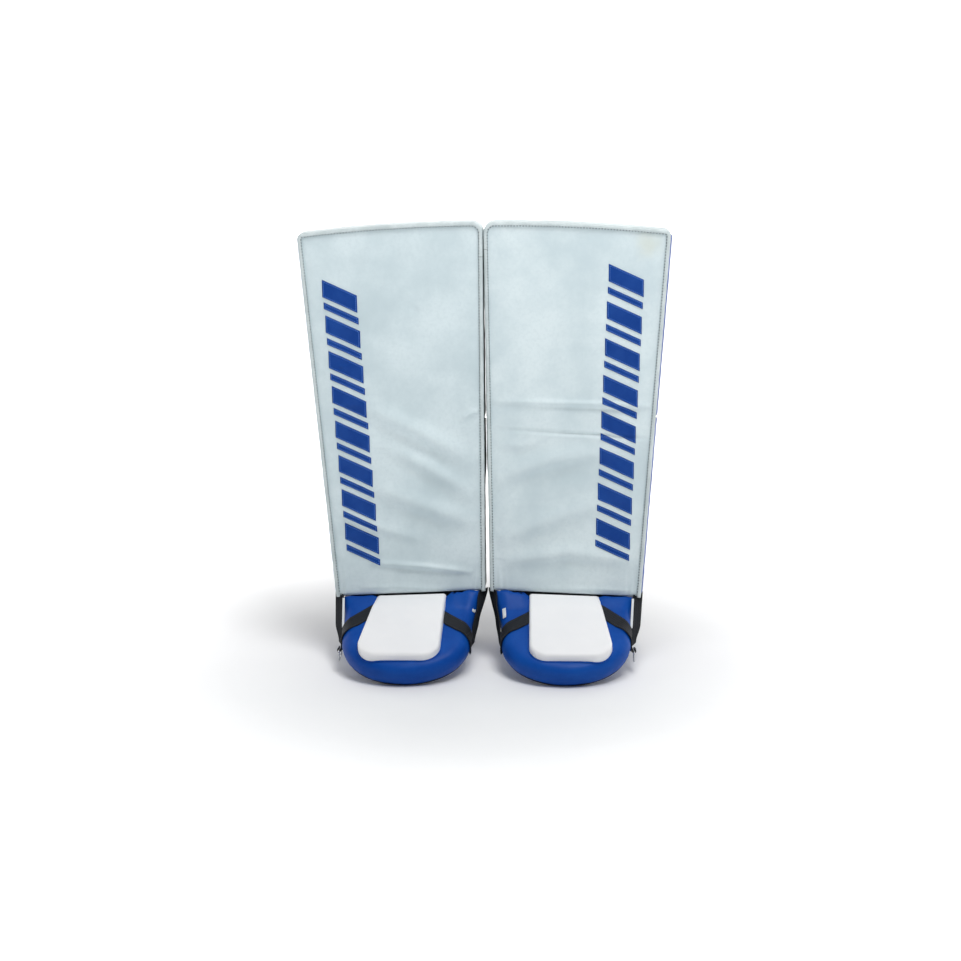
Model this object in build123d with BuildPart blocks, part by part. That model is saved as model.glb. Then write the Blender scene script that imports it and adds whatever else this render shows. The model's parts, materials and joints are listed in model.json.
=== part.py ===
from build123d import *
import os
from math import acos, atan2, cos, degrees, hypot, radians, sin, tan

# Goalie leg pads: a pair of ice hockey leg pads that stands on its boots.
#
# Frame: millimetres, +Z up, faces towards -Y, the wearer's left pad on +X.
# Origin: on the floor, under the middle of the pair.
# Every piece is modelled for the left pad and mirrored for the right one.
# Only the slanted bars differ: they lean the same way on both pads.
#
# Each pad has a flat foam core in two sections, shin and thigh, with a V slot
# behind the knee, so that it bends about the front skin. The boot is a padded
# slab that slopes forward over the skate and flexes about its top edge. Behind
# the core, a channel for the leg lies between an inner wing and a hinged wrap.

os.makedirs("parts", exist_ok=True)

# ---------------------------------------------------------------- pad outline
inner_top_x, inner_bottom_x = 1.0, 4.5      # inner edge, from the middle of the pair
outer_top_x, outer_bottom_x = 310.0, 264.0  # outer edge, slanting in towards the boot
inner_top_z, outer_top_z = 755.0, 738.0
inner_bottom_z, outer_bottom_z = 117.0, 109.0
top_arch = 5.0                # rise of the top edge above its chord
top_inner_radius = 17.0
other_corner_radius = 8.0

# ---------------------------------------------------------------- pad layers
skin = 3.0                    # thickness of the leather cover
pad_depth = 53.0              # front skin to back cover
binding_width = 6.5
binding_proud = 1.5           # how far the binding stands in front of the face

# ---------------------------------------------------------------- knee break
knee_y, knee_z = -2.0, 425.0  # hinge line, just in front of the face
knee_slot_half_angle = 9.0    # each side of the V slot
knee_gap = 0.3                # clearance on each side of the hinge line

# ---------------------------------------------------------------- slanted bars
bar_cells = 8
# The right pad's column is a little shorter and lower than the left pad's.
bar_pitch = {"left": 62.0, "right": 60.0}
bar_top_z = {"left": 657.0, "right": 634.0} # middle of the top thick bar
bar_column_width = 58.0
bar_column_x, bar_column_foot_z = 214.0, 174.0  # its middle at the foot
bar_column_lean = {"left": 0.047, "right": 0.060} # run outward per rise
bar_slant = 25.0              # fall towards +X, in degrees
bar_thick_height, bar_thin_height = 29.0, 11.0
bar_spacing = 29.0            # thick bar's centre to thin bar's centre
bar_proud = 1.6

# ---------------------------------------------------------------- boot
boot_x = 136.0                # middle of the boot
boot_hinge_z = 107.0          # boot break, at the foot of the face (y = 0)
boot_slope = 23.5             # degrees below the horizontal, towards the toe
boot_thickness = 44.0
boot_round = 19.0             # roll along the boot's edge
boot_half_width = 115.0       # at the boot break
boot_rear_y = 50.0            # rear end of the boot, under the core
boot_rear_fall = 11.0         # top of the rear end slopes down, away from the core
nose_centre = 92.0            # along the slope, from the boot break
nose_half_width, nose_length = 109.0, 90.0

panel_start, panel_end = 6.0, 160.0         # toe panel, along the slope
panel_inner_x = (-64.0, -59.0)              # at its start and its end
panel_outer_x = (54.0, 81.0)
panel_height = 15.0
panel_corner_radius, panel_edge_radius = 32.0, 3.75

webbing = 2.0                 # webbing thickness
strap_width = 25.0
strap_channel_width = 27.0    # the channel for it under the toe panel
strap_bends_x = (-60.0, 76.0) # where the cross strap's two arms start
strap_bend_reach = 49.0       # along the slope
strap_arm_angle = 42.0        # how steeply the arms run towards the toe
strap_drop = 36.0             # how far it runs down the boot's sides

web_z = (103.0, 46.0)         # top and bottom of the side webs
web_front_y = (-4.0, -78.0)   # their front edges, at the top and the bottom
web_run = 26.0                # front to rear
web_thickness = 3.0
web_flare = (8.0, 2.0)        # how far the rear edge stands out, top and bottom
web_gap = (0.6, 3.0)          # boot's side to the front edge, top and bottom

bridge_width, bridge_length, bridge_thickness = 74.0, 30.0, 3.0
bridge_corner_radius = 7.5
bridge_centre = 131.0         # along the slope
eyelet_radius = 3.0
eyelet_spacing = 44.0

# ---------------------------------------------------------------- side ring
ring_x, ring_y, ring_z = 251.2, -72.0, 38.0
ring_wire = 1.5
ring_width, ring_height = 27.0, 16.0        # between the wire's centres
loop_bore, loop_radius, loop_length = 1.9, 3.7, 14.0

# ---------------------------------------------------------------- leg channel
channel_inner_x, channel_outer_x = 56.0, 213.0
channel_rear_y = 152.0        # rear face of the wings
wing_thickness = 14.0
wing_front_y = 57.0           # the hinged wings start clear of the core
wing_round = 6.0
flange_reach = 44.0           # how far the inner wing wraps behind the leg
calf_wing_z = (150.0, 396.0)
inner_calf_wing_top_z = 298.0
knee_wing_z = (456.0, 590.0)
knee_stack_x = (6.0, 56.0)
knee_stack_z = (300.0, 396.0)
knee_stack_layers = 3
layer_gap = 0.4
calf_pad_depth, calf_pad_margin = 14.0, 6.0

# ---------------------------------------------------------------- wrap straps
patch = 1.3                   # hook patch thickness
patch_gap = 0.2
clearance = 0.3
wrap_strap_width = 38.0
wrap_strap_front_y = 80.0     # where a wrap strap starts on the outer wing
wrap_strap_y = channel_rear_y + patch + patch_gap + webbing / 2 # middle of a strap, behind the leg
calf_strap_z = (222.0, 358.0)
calf_strap_end_x = (50.0, 12.0)
knee_strap_z, knee_strap_end_x = 523.0, 50.0
patch_x = ((48.0, 98.0), (10.0, 54.0))
patch_height = 34.0
rivet_radius, rivet_head, rivet_head_height = 2.2, 5.0, 1.2
wrap_rivet_y, wrap_rivet_spacing = 100.0, 20.0

# ---------------------------------------------------------------- heel
heel_wing_thickness = 10.0
heel_plates_x = (62.0, 200.0) # low side of the inner and the outer plate
heel_foot_y, heel_rear_y = 60.0, 130.0
heel_step_z, heel_top_z = 108.0, 146.0
heel_corner = 14.0
heel_pivot_y, heel_pivot_z = 92.0, 62.0
heel_strap_reach = 69.0       # pivot to the rear span
heel_strap_fall = 40.0        # degrees below the horizontal at rest
heel_strap_corner = 10.0
pivot_clearance = 0.3


def save(part, side, name):
    """Label one finished piece and write it to its own STEP file."""
    part.label = f"{side}_{name}"
    export_step(part, f"parts/{part.label}.step")


def save_pair(piece, name):
    """Write the left pad's piece, and its mirror image for the right pad."""
    save(piece.part, "left", name)
    with BuildPart() as twin:
        mirror(piece.part, about=Plane.YZ)
    save(twin.part, "right", name)


def front_plane(y):
    """A plane facing the viewer at depth y: sketch x is +X, sketch y is +Z."""
    return Plane.XZ.offset(-y)


def face_outline(inset=0.0):
    """The pad's front outline, drawn in from its edge by inset."""
    inner_bottom = (inner_bottom_x, inner_bottom_z)
    outer_bottom = (outer_bottom_x, outer_bottom_z)
    outer_top = (outer_top_x, outer_top_z)
    inner_top = (inner_top_x, inner_top_z)
    crest = ((inner_top_x + outer_top_x) / 2, (inner_top_z + outer_top_z) / 2 + top_arch)
    with BuildSketch(mode=Mode.PRIVATE) as outline:
        with BuildLine():
            Polyline(inner_top, inner_bottom, outer_bottom, outer_top)
            ThreePointArc(outer_top, crest, inner_top)
        make_face()
        corners = outline.vertices()
        rounded = corners.sort_by_distance(inner_top)[0]
        fillet(corners.sort_by_distance(inner_top)[1:], other_corner_radius)
        fillet(outline.vertices().sort_by_distance(rounded)[0], top_inner_radius)
        if inset:
            offset(amount=-inset, mode=Mode.REPLACE)
    return outline.sketch


# Each section of the pad lies on one side of the V slot behind the knee.
slot = radians(knee_slot_half_angle)
shin_cut = Plane(
    origin=(0, knee_y, knee_z - knee_gap), x_dir=(1, 0, 0), z_dir=(0, sin(slot), cos(slot))
)
thigh_cut = Plane(
    origin=(0, knee_y, knee_z + knee_gap), x_dir=(1, 0, 0), z_dir=(0, -sin(slot), cos(slot))
)
sections = (("shin", shin_cut, Keep.BOTTOM), ("thigh", thigh_cut, Keep.TOP))

for section, cut, keep in sections:
    with BuildPart() as core:
        with BuildSketch(front_plane(skin)):
            add(face_outline(skin))
        extrude(amount=-(pad_depth - 2 * skin))
        split(bisect_by=cut, keep=keep)
    save_pair(core, f"{section}_core")

    with BuildPart() as face:
        with BuildSketch(front_plane(0)):
            add(face_outline(binding_width))
        extrude(amount=-skin)
        split(bisect_by=cut, keep=keep)
    save_pair(face, f"{section}_face")

    with BuildPart() as binding:
        with BuildSketch(front_plane(-binding_proud)):
            add(face_outline())
            add(face_outline(binding_width), mode=Mode.SUBTRACT)
        extrude(amount=-(binding_proud + skin))
        split(bisect_by=cut, keep=keep)
    save_pair(binding, f"{section}_binding")

    with BuildPart() as back_cover:
        with BuildSketch(front_plane(skin)):
            add(face_outline())
        extrude(amount=-(pad_depth - skin))
        with BuildSketch(front_plane(skin)):
            add(face_outline(skin))
        extrude(amount=-(pad_depth - 2 * skin), mode=Mode.SUBTRACT)
        split(bisect_by=cut, keep=keep)
    save_pair(back_cover, f"{section}_back_cover")


def bar_column(side_name, side):
    """A column of slanted bars beside the outer edge of one pad's face."""
    half_width = bar_column_width / 2
    half_fall = half_width * tan(radians(bar_slant))
    with BuildSketch() as column:
        for cell in range(bar_cells):
            for drop, height in ((0.0, bar_thick_height), (bar_spacing, bar_thin_height)):
                z = bar_top_z[side_name] - cell * bar_pitch[side_name] - drop
                x = bar_column_x + (z - bar_column_foot_z) * bar_column_lean[side_name]
                with Locations((side * x, z)):
                    Polygon(
                        (-half_width, half_fall - height / 2),
                        (half_width, -half_fall - height / 2),
                        (half_width, -half_fall + height / 2),
                        (-half_width, half_fall + height / 2),
                        align=None,
                    )
    return column.sketch


for section, cut, keep in sections:
    for side_name, side in (("left", 1), ("right", -1)):
        with BuildPart() as bars:
            with BuildSketch(front_plane(-bar_proud)):
                add(bar_column(side_name, side))
            extrude(amount=-bar_proud)
            split(bisect_by=cut, keep=keep)
        save(bars.part, side_name, f"{section}_bars")


# ---------------------------------------------------------------- boot pieces
slope = radians(boot_slope)
# On this plane x runs across the boot and -y runs along it, towards the toe.
boot_plane = Plane(
    origin=(boot_x, 0, boot_hinge_z), x_dir=(1, 0, 0), z_dir=(0, -sin(slope), cos(slope))
)
fall = radians(boot_rear_fall)


def boot_block(grow=0.0):
    """The boot's outer shape, larger all round by grow."""
    half_width, rear = boot_half_width + grow, boot_rear_y + boot_thickness
    across = half_width / (nose_half_width + grow)
    along = nose_centre / (nose_length + grow)
    # The straight sides run into the elliptical nose along its tangents.
    tangent_angle = degrees(acos(1 / hypot(across, along)) - atan2(along, across))
    with BuildPart(mode=Mode.PRIVATE) as block:
        with BuildSketch(boot_plane.offset(grow)):
            with BuildLine():
                nose = EllipticalCenterArc(
                    (0, -nose_centre),
                    nose_half_width + grow,
                    nose_length + grow,
                    180 + tangent_angle,
                    arc_size=180 - 2 * tangent_angle,
                )
                side_run = rear / nose_centre
                Polyline(
                    nose @ 0,
                    nose @ 0 + (Vector(-half_width, 0) - nose @ 0) * (1 + side_run),
                    nose @ 1 + (Vector(half_width, 0) - nose @ 1) * (1 + side_run),
                    nose @ 1,
                )
            make_face()
        extrude(amount=-(boot_thickness + 2 * grow))
        ends = block.faces().sort_by(Axis.Y)[-1].edges()
        caps = block.faces().sort_by(Axis(boot_plane.origin, boot_plane.z_dir))
        rolled = [edge for cap in (caps[0], caps[-1]) for edge in cap.edges() if edge not in ends]
        fillet(rolled, boot_round + 0.9 * grow)
        break_plane = Plane(
            origin=(0, 0, boot_hinge_z + grow), x_dir=(1, 0, 0), z_dir=(0, sin(fall), cos(fall))
        )
        split(bisect_by=break_plane, keep=Keep.BOTTOM)
        split(bisect_by=front_plane(boot_rear_y + grow), keep=Keep.TOP)
    return block.part


outer_boot = boot_block()
boot_filling = boot_block(-skin)

with BuildPart() as boot_core:
    add(boot_filling)
save_pair(boot_core, "boot_core")

with BuildPart() as boot_cover:
    add(outer_boot)
    add(boot_filling, mode=Mode.SUBTRACT)
save_pair(boot_cover, "boot_cover")


def webbing_band(width):
    """Plan of the cross strap on the boot plane: two arms that run out and forward."""
    reach = boot_half_width + 2 * strap_width
    inner_x, outer_x = strap_bends_x
    inner_run, outer_run = reach + inner_x, reach - outer_x
    steepness = tan(radians(strap_arm_angle))
    with BuildSketch() as band:
        with BuildLine():
            Polyline(
                (-reach, -strap_bend_reach - inner_run * steepness),
                (inner_x, -strap_bend_reach),
                (outer_x, -strap_bend_reach),
                (reach, -strap_bend_reach - outer_run * steepness),
            )
        trace(line_width=width)
    return band.sketch


def strap_body(width, thickness):
    """The cross strap over the boot, which is also the channel under the toe panel."""
    with BuildPart() as body:
        with BuildSketch(boot_plane.offset(strap_width)):
            add(webbing_band(width))
        extrude(amount=-(strap_width + strap_drop))
        add(boot_block(thickness), mode=Mode.INTERSECT)
        add(outer_boot, mode=Mode.SUBTRACT)
    return body.part


# The outer arm ends in a sewn loop that holds the steel ring.
loop_plane = Plane.XZ.offset(-ring_y)
with BuildPart() as cross_strap:
    add(strap_body(strap_width, webbing))
    with BuildSketch(loop_plane):
        with Locations((ring_x, ring_z)):
            Circle(loop_radius)
            Rectangle(2 * loop_radius, 2 * loop_radius, align=(Align.MAX, Align.CENTER))
    extrude(amount=loop_length / 2, both=True)
    add(outer_boot, mode=Mode.SUBTRACT)
    with BuildSketch(loop_plane):
        with Locations((ring_x, ring_z)):
            Circle(loop_bore)
    extrude(amount=loop_length, both=True, mode=Mode.SUBTRACT)
save_pair(cross_strap, "cross_strap")

# Ribbed webs run from the foot of the pad down the boot's sides to its strap.
# Each is a loft between two slanted quadrilaterals, one at each end.
with BuildPart() as side_webs:
    for side in (1, -1):
        for end in range(2):
            side_x = boot_half_width - end * (boot_half_width - nose_half_width) + web_gap[end]
            front_y, rear_y = web_front_y[end], web_front_y[end] + web_run
            flare_x = side_x + web_flare[end]
            with BuildSketch(Plane.XY.offset(web_z[end])):
                Polygon(
                    (boot_x + side * side_x, front_y),
                    (boot_x + side * (side_x + web_thickness), front_y),
                    (boot_x + side * (flare_x + web_thickness), rear_y),
                    (boot_x + side * flare_x, rear_y),
                    align=None,
                )
        loft()
    add(boot_block(clearance), mode=Mode.SUBTRACT)
    add(strap_body(strap_channel_width, webbing + clearance), mode=Mode.SUBTRACT)
save_pair(side_webs, "side_webs")

with BuildPart() as side_ring:
    with BuildLine():
        FilletPolyline(
            (ring_x, ring_y - ring_width / 2, ring_z),
            (ring_x, ring_y + ring_width / 2, ring_z),
            (ring_x, ring_y + ring_width / 2, ring_z - ring_height),
            (ring_x, ring_y - ring_width / 2, ring_z - ring_height),
            radius=2 * ring_wire,
            close=True,
        )
    with BuildSketch(loop_plane):
        with Locations((ring_x, ring_z)):
            Circle(ring_wire)
    sweep()
save_pair(side_ring, "side_ring")

with BuildPart() as toe_panel:
    with BuildSketch(boot_plane.offset(panel_height)) as panel_plan:
        with BuildLine():
            Polyline(
                (panel_inner_x[0], -panel_start),
                (panel_inner_x[1], -panel_end),
                (panel_outer_x[1], -panel_end),
                (panel_outer_x[0], -panel_start),
                close=True,
            )
        make_face()
        fillet(panel_plan.vertices().group_by(Axis.Y)[0], panel_corner_radius)
    extrude(amount=-(panel_height + boot_round))
    panel_top = toe_panel.faces().sort_by(Axis(boot_plane.origin, boot_plane.z_dir))[-1]
    fillet(panel_top.edges(), panel_edge_radius)
    add(outer_boot, mode=Mode.SUBTRACT)
    add(strap_body(strap_channel_width, webbing + clearance), mode=Mode.SUBTRACT)
save_pair(toe_panel, "toe_panel")

with BuildPart() as toe_bridge:
    with BuildSketch(boot_plane.offset(-boot_thickness - bridge_thickness)):
        with Locations((0, -bridge_centre)):
            RectangleRounded(bridge_width, bridge_length, bridge_corner_radius)
            with GridLocations(eyelet_spacing, 0, 2, 1):
                Circle(eyelet_radius, mode=Mode.SUBTRACT)
    extrude(amount=bridge_thickness)
save_pair(toe_bridge, "toe_bridge")


# ---------------------------------------------------------------- leg channel pieces
def inner_wing(bottom_z, top_z):
    """A padded wing with a flange that wraps behind the leg."""
    with BuildPart() as wing:
        with BuildSketch(Plane.XY.offset(bottom_z)) as plan:
            with BuildLine():
                inner_x = channel_inner_x - wing_thickness
                flange_y = channel_rear_y - wing_thickness
                Polyline(
                    (inner_x, pad_depth),
                    (channel_inner_x, pad_depth),
                    (channel_inner_x, flange_y),
                    (channel_inner_x + flange_reach, flange_y),
                    (channel_inner_x + flange_reach, channel_rear_y),
                    (inner_x, channel_rear_y),
                    close=True,
                )
            make_face()
            fillet(plan.vertices().group_by(Axis.Y)[1:], wing_round)
        extrude(amount=top_z - bottom_z)
    return wing.part


def outer_wing(bottom_z, top_z):
    """A flat padded wing beside the leg."""
    with BuildPart() as wing:
        with BuildSketch(Plane.XY.offset(bottom_z)) as plan:
            with Locations((channel_outer_x, wing_front_y)):
                Rectangle(wing_thickness, channel_rear_y - wing_front_y, align=Align.MIN)
            fillet(plan.vertices().group_by(Axis.Y)[-1], wing_round)
        extrude(amount=top_z - bottom_z)
    return wing.part


def rivet_places():
    """Centres of the calf straps' rivets on the YZ plane, two to a strap."""
    half_spacing = wrap_rivet_spacing / 2
    return [(wrap_rivet_y, z + dz) for z in calf_strap_z for dz in (-half_spacing, half_spacing)]


def rivet_shafts():
    """The round shafts that hold the calf straps to the outer wing."""
    with BuildPart() as shafts:
        with BuildSketch(Plane.YZ.offset(channel_outer_x)):
            with Locations(*rivet_places()):
                Circle(rivet_radius)
        extrude(amount=wing_thickness + clearance + webbing)
    return shafts.part


def rivet_heads():
    """A round head on each end of the shafts."""
    outer_x = channel_outer_x + wing_thickness + clearance + webbing
    with BuildPart() as heads:
        for x in (channel_outer_x - rivet_head_height, outer_x):
            with BuildSketch(Plane.YZ.offset(x)):
                with Locations(*rivet_places()):
                    Circle(rivet_head)
            extrude(amount=rivet_head_height)
    return heads.part


def wrap_strap(z, end_x):
    """A strap from the outer wing's side, round its edge and across behind the leg."""
    strap_x = channel_outer_x + wing_thickness + clearance + webbing / 2
    with BuildPart() as strap:
        with BuildSketch(Plane.XY.offset(z - wrap_strap_width / 2)):
            with BuildLine():
                FilletPolyline(
                    (strap_x, wrap_strap_front_y),
                    (strap_x, wrap_strap_y),
                    (end_x, wrap_strap_y),
                    radius=wing_round,
                )
            trace(line_width=webbing)
        extrude(amount=wrap_strap_width)
    return strap.part


with BuildPart() as inner_calf_wing:
    add(inner_wing(calf_wing_z[0], inner_calf_wing_top_z))
save_pair(inner_calf_wing, "inner_calf_wing")

with BuildPart() as inner_knee_wing:
    add(inner_wing(*knee_wing_z))
save_pair(inner_knee_wing, "inner_knee_wing")

with BuildPart() as outer_calf_wing:
    add(outer_wing(*calf_wing_z))
    add(rivet_shafts(), mode=Mode.SUBTRACT)
save_pair(outer_calf_wing, "outer_calf_wing")

with BuildPart() as outer_knee_wing:
    add(outer_wing(*knee_wing_z))
save_pair(outer_knee_wing, "outer_knee_wing")

with BuildPart() as calf_straps:
    for z, end_x in zip(calf_strap_z, calf_strap_end_x):
        add(wrap_strap(z, end_x))
    add(rivet_shafts(), mode=Mode.SUBTRACT)
save_pair(calf_straps, "calf_straps")

with BuildPart() as knee_strap:
    add(wrap_strap(knee_strap_z, knee_strap_end_x))
save_pair(knee_strap, "knee_strap")

with BuildPart() as calf_rivets:
    add(rivet_shafts())
    add(rivet_heads())
save_pair(calf_rivets, "calf_rivets")

# The knee lands on a stack of foam layers beside the channel.
with BuildPart() as knee_stack:
    low_x, high_x = knee_stack_x
    pitch = (high_x - low_x + layer_gap) / knee_stack_layers
    for layer in range(knee_stack_layers):
        with BuildSketch(Plane.YZ.offset(low_x + layer * pitch)):
            with Locations((pad_depth, knee_stack_z[0])):
                Rectangle(
                    channel_rear_y - pad_depth, knee_stack_z[1] - knee_stack_z[0], align=Align.MIN
                )
        extrude(amount=pitch - layer_gap)
    fillet(knee_stack.edges().filter_by(Axis.X).group_by(Axis.Y)[-1], wing_round)
save_pair(knee_stack, "knee_stack")

with BuildPart() as calf_pad:
    with BuildSketch(front_plane(pad_depth)):
        low_x = channel_inner_x + calf_pad_margin
        high_x = channel_outer_x - calf_pad_margin
        with Locations(((low_x + high_x) / 2, sum(calf_wing_z) / 2)):
            RectangleRounded(high_x - low_x, calf_wing_z[1] - calf_wing_z[0], 2 * wing_round)
    extrude(amount=-calf_pad_depth)
    fillet(calf_pad.faces().sort_by(Axis.Y)[-1].edges(), wing_round)
save_pair(calf_pad, "calf_pad")

with BuildPart() as hook_patches:
    for z, (low_x, high_x) in zip(calf_strap_z, patch_x):
        with BuildSketch(front_plane(channel_rear_y)):
            with Locations(((low_x + high_x) / 2, z)):
                Rectangle(high_x - low_x, patch_height)
        extrude(amount=-patch)
save_pair(hook_patches, "hook_patches")


# ---------------------------------------------------------------- heel pieces
# Each rivet runs through a plate and the strap's arm outside it.
strap_side = pivot_clearance + webbing + pivot_clearance
inner_plate_x, outer_plate_x = heel_plates_x
shaft_spans = (
    (inner_plate_x - strap_side, inner_plate_x + heel_wing_thickness),
    (outer_plate_x, outer_plate_x + heel_wing_thickness + strap_side),
)
head_spans = [
    span
    for low_x, high_x in shaft_spans
    for span in ((low_x - rivet_head_height, low_x), (high_x, high_x + rivet_head_height))
]


def heel_discs(radius, spans):
    """Discs on the heel strap's axis, one for each span of x."""
    with BuildPart() as discs:
        for low_x, high_x in spans:
            with BuildSketch(Plane.YZ.offset(low_x)):
                with Locations((heel_pivot_y, heel_pivot_z)):
                    Circle(radius)
            extrude(amount=high_x - low_x)
    return discs.part


with BuildPart() as heel_wings:
    for low_x in heel_plates_x:
        with BuildSketch(Plane.YZ.offset(low_x)) as plate:
            with BuildLine():
                Polyline(
                    (heel_foot_y, 0),
                    (heel_rear_y, 0),
                    (heel_rear_y, heel_top_z),
                    (pad_depth, heel_top_z),
                    (pad_depth, heel_step_z),
                    close=True,
                )
            make_face()
            fillet(plate.vertices().group_by(Axis.X)[-1], heel_corner)
        extrude(amount=heel_wing_thickness)
    add(heel_discs(rivet_radius, shaft_spans), mode=Mode.SUBTRACT)
save_pair(heel_wings, "heel_wings")

with BuildPart() as heel_rivets:
    add(heel_discs(rivet_radius, shaft_spans))
    add(heel_discs(rivet_head, head_spans))
save_pair(heel_rivets, "heel_rivets")

# The strap is a bail: it swings on the two rivets, behind the skate's heel.
strap_fall = radians(heel_strap_fall)
heel_plane = Plane(
    origin=(0, heel_pivot_y, heel_pivot_z),
    x_dir=(1, 0, 0),
    z_dir=(0, sin(strap_fall), cos(strap_fall)),
)
with BuildPart() as heel_strap:
    low_x = heel_plates_x[0] - pivot_clearance - webbing / 2
    high_x = heel_plates_x[1] + heel_wing_thickness + pivot_clearance + webbing / 2
    with BuildSketch(heel_plane.offset(-strap_width / 2)):
        with BuildLine():
            FilletPolyline(
                (low_x, -strap_width / 2),
                (low_x, heel_strap_reach),
                (high_x, heel_strap_reach),
                (high_x, -strap_width / 2),
                radius=heel_strap_corner,
            )
        trace(line_width=webbing)
    extrude(amount=strap_width)
    arm_side = Plane(heel_plane.origin, x_dir=heel_plane.y_dir, z_dir=(1, 0, 0))
    with BuildSketch(arm_side):
        Circle(strap_width / 2)
        Rectangle(2 * heel_strap_reach, strap_width, align=(Align.MIN, Align.CENTER))
        Circle(rivet_radius + pivot_clearance, mode=Mode.SUBTRACT)
    extrude(amount=high_x + webbing, mode=Mode.INTERSECT)
save_pair(heel_strap, "heel_strap")
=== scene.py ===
import json
import math

import bmesh
import bpy
from mathutils import Matrix, Vector, noise

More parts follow.
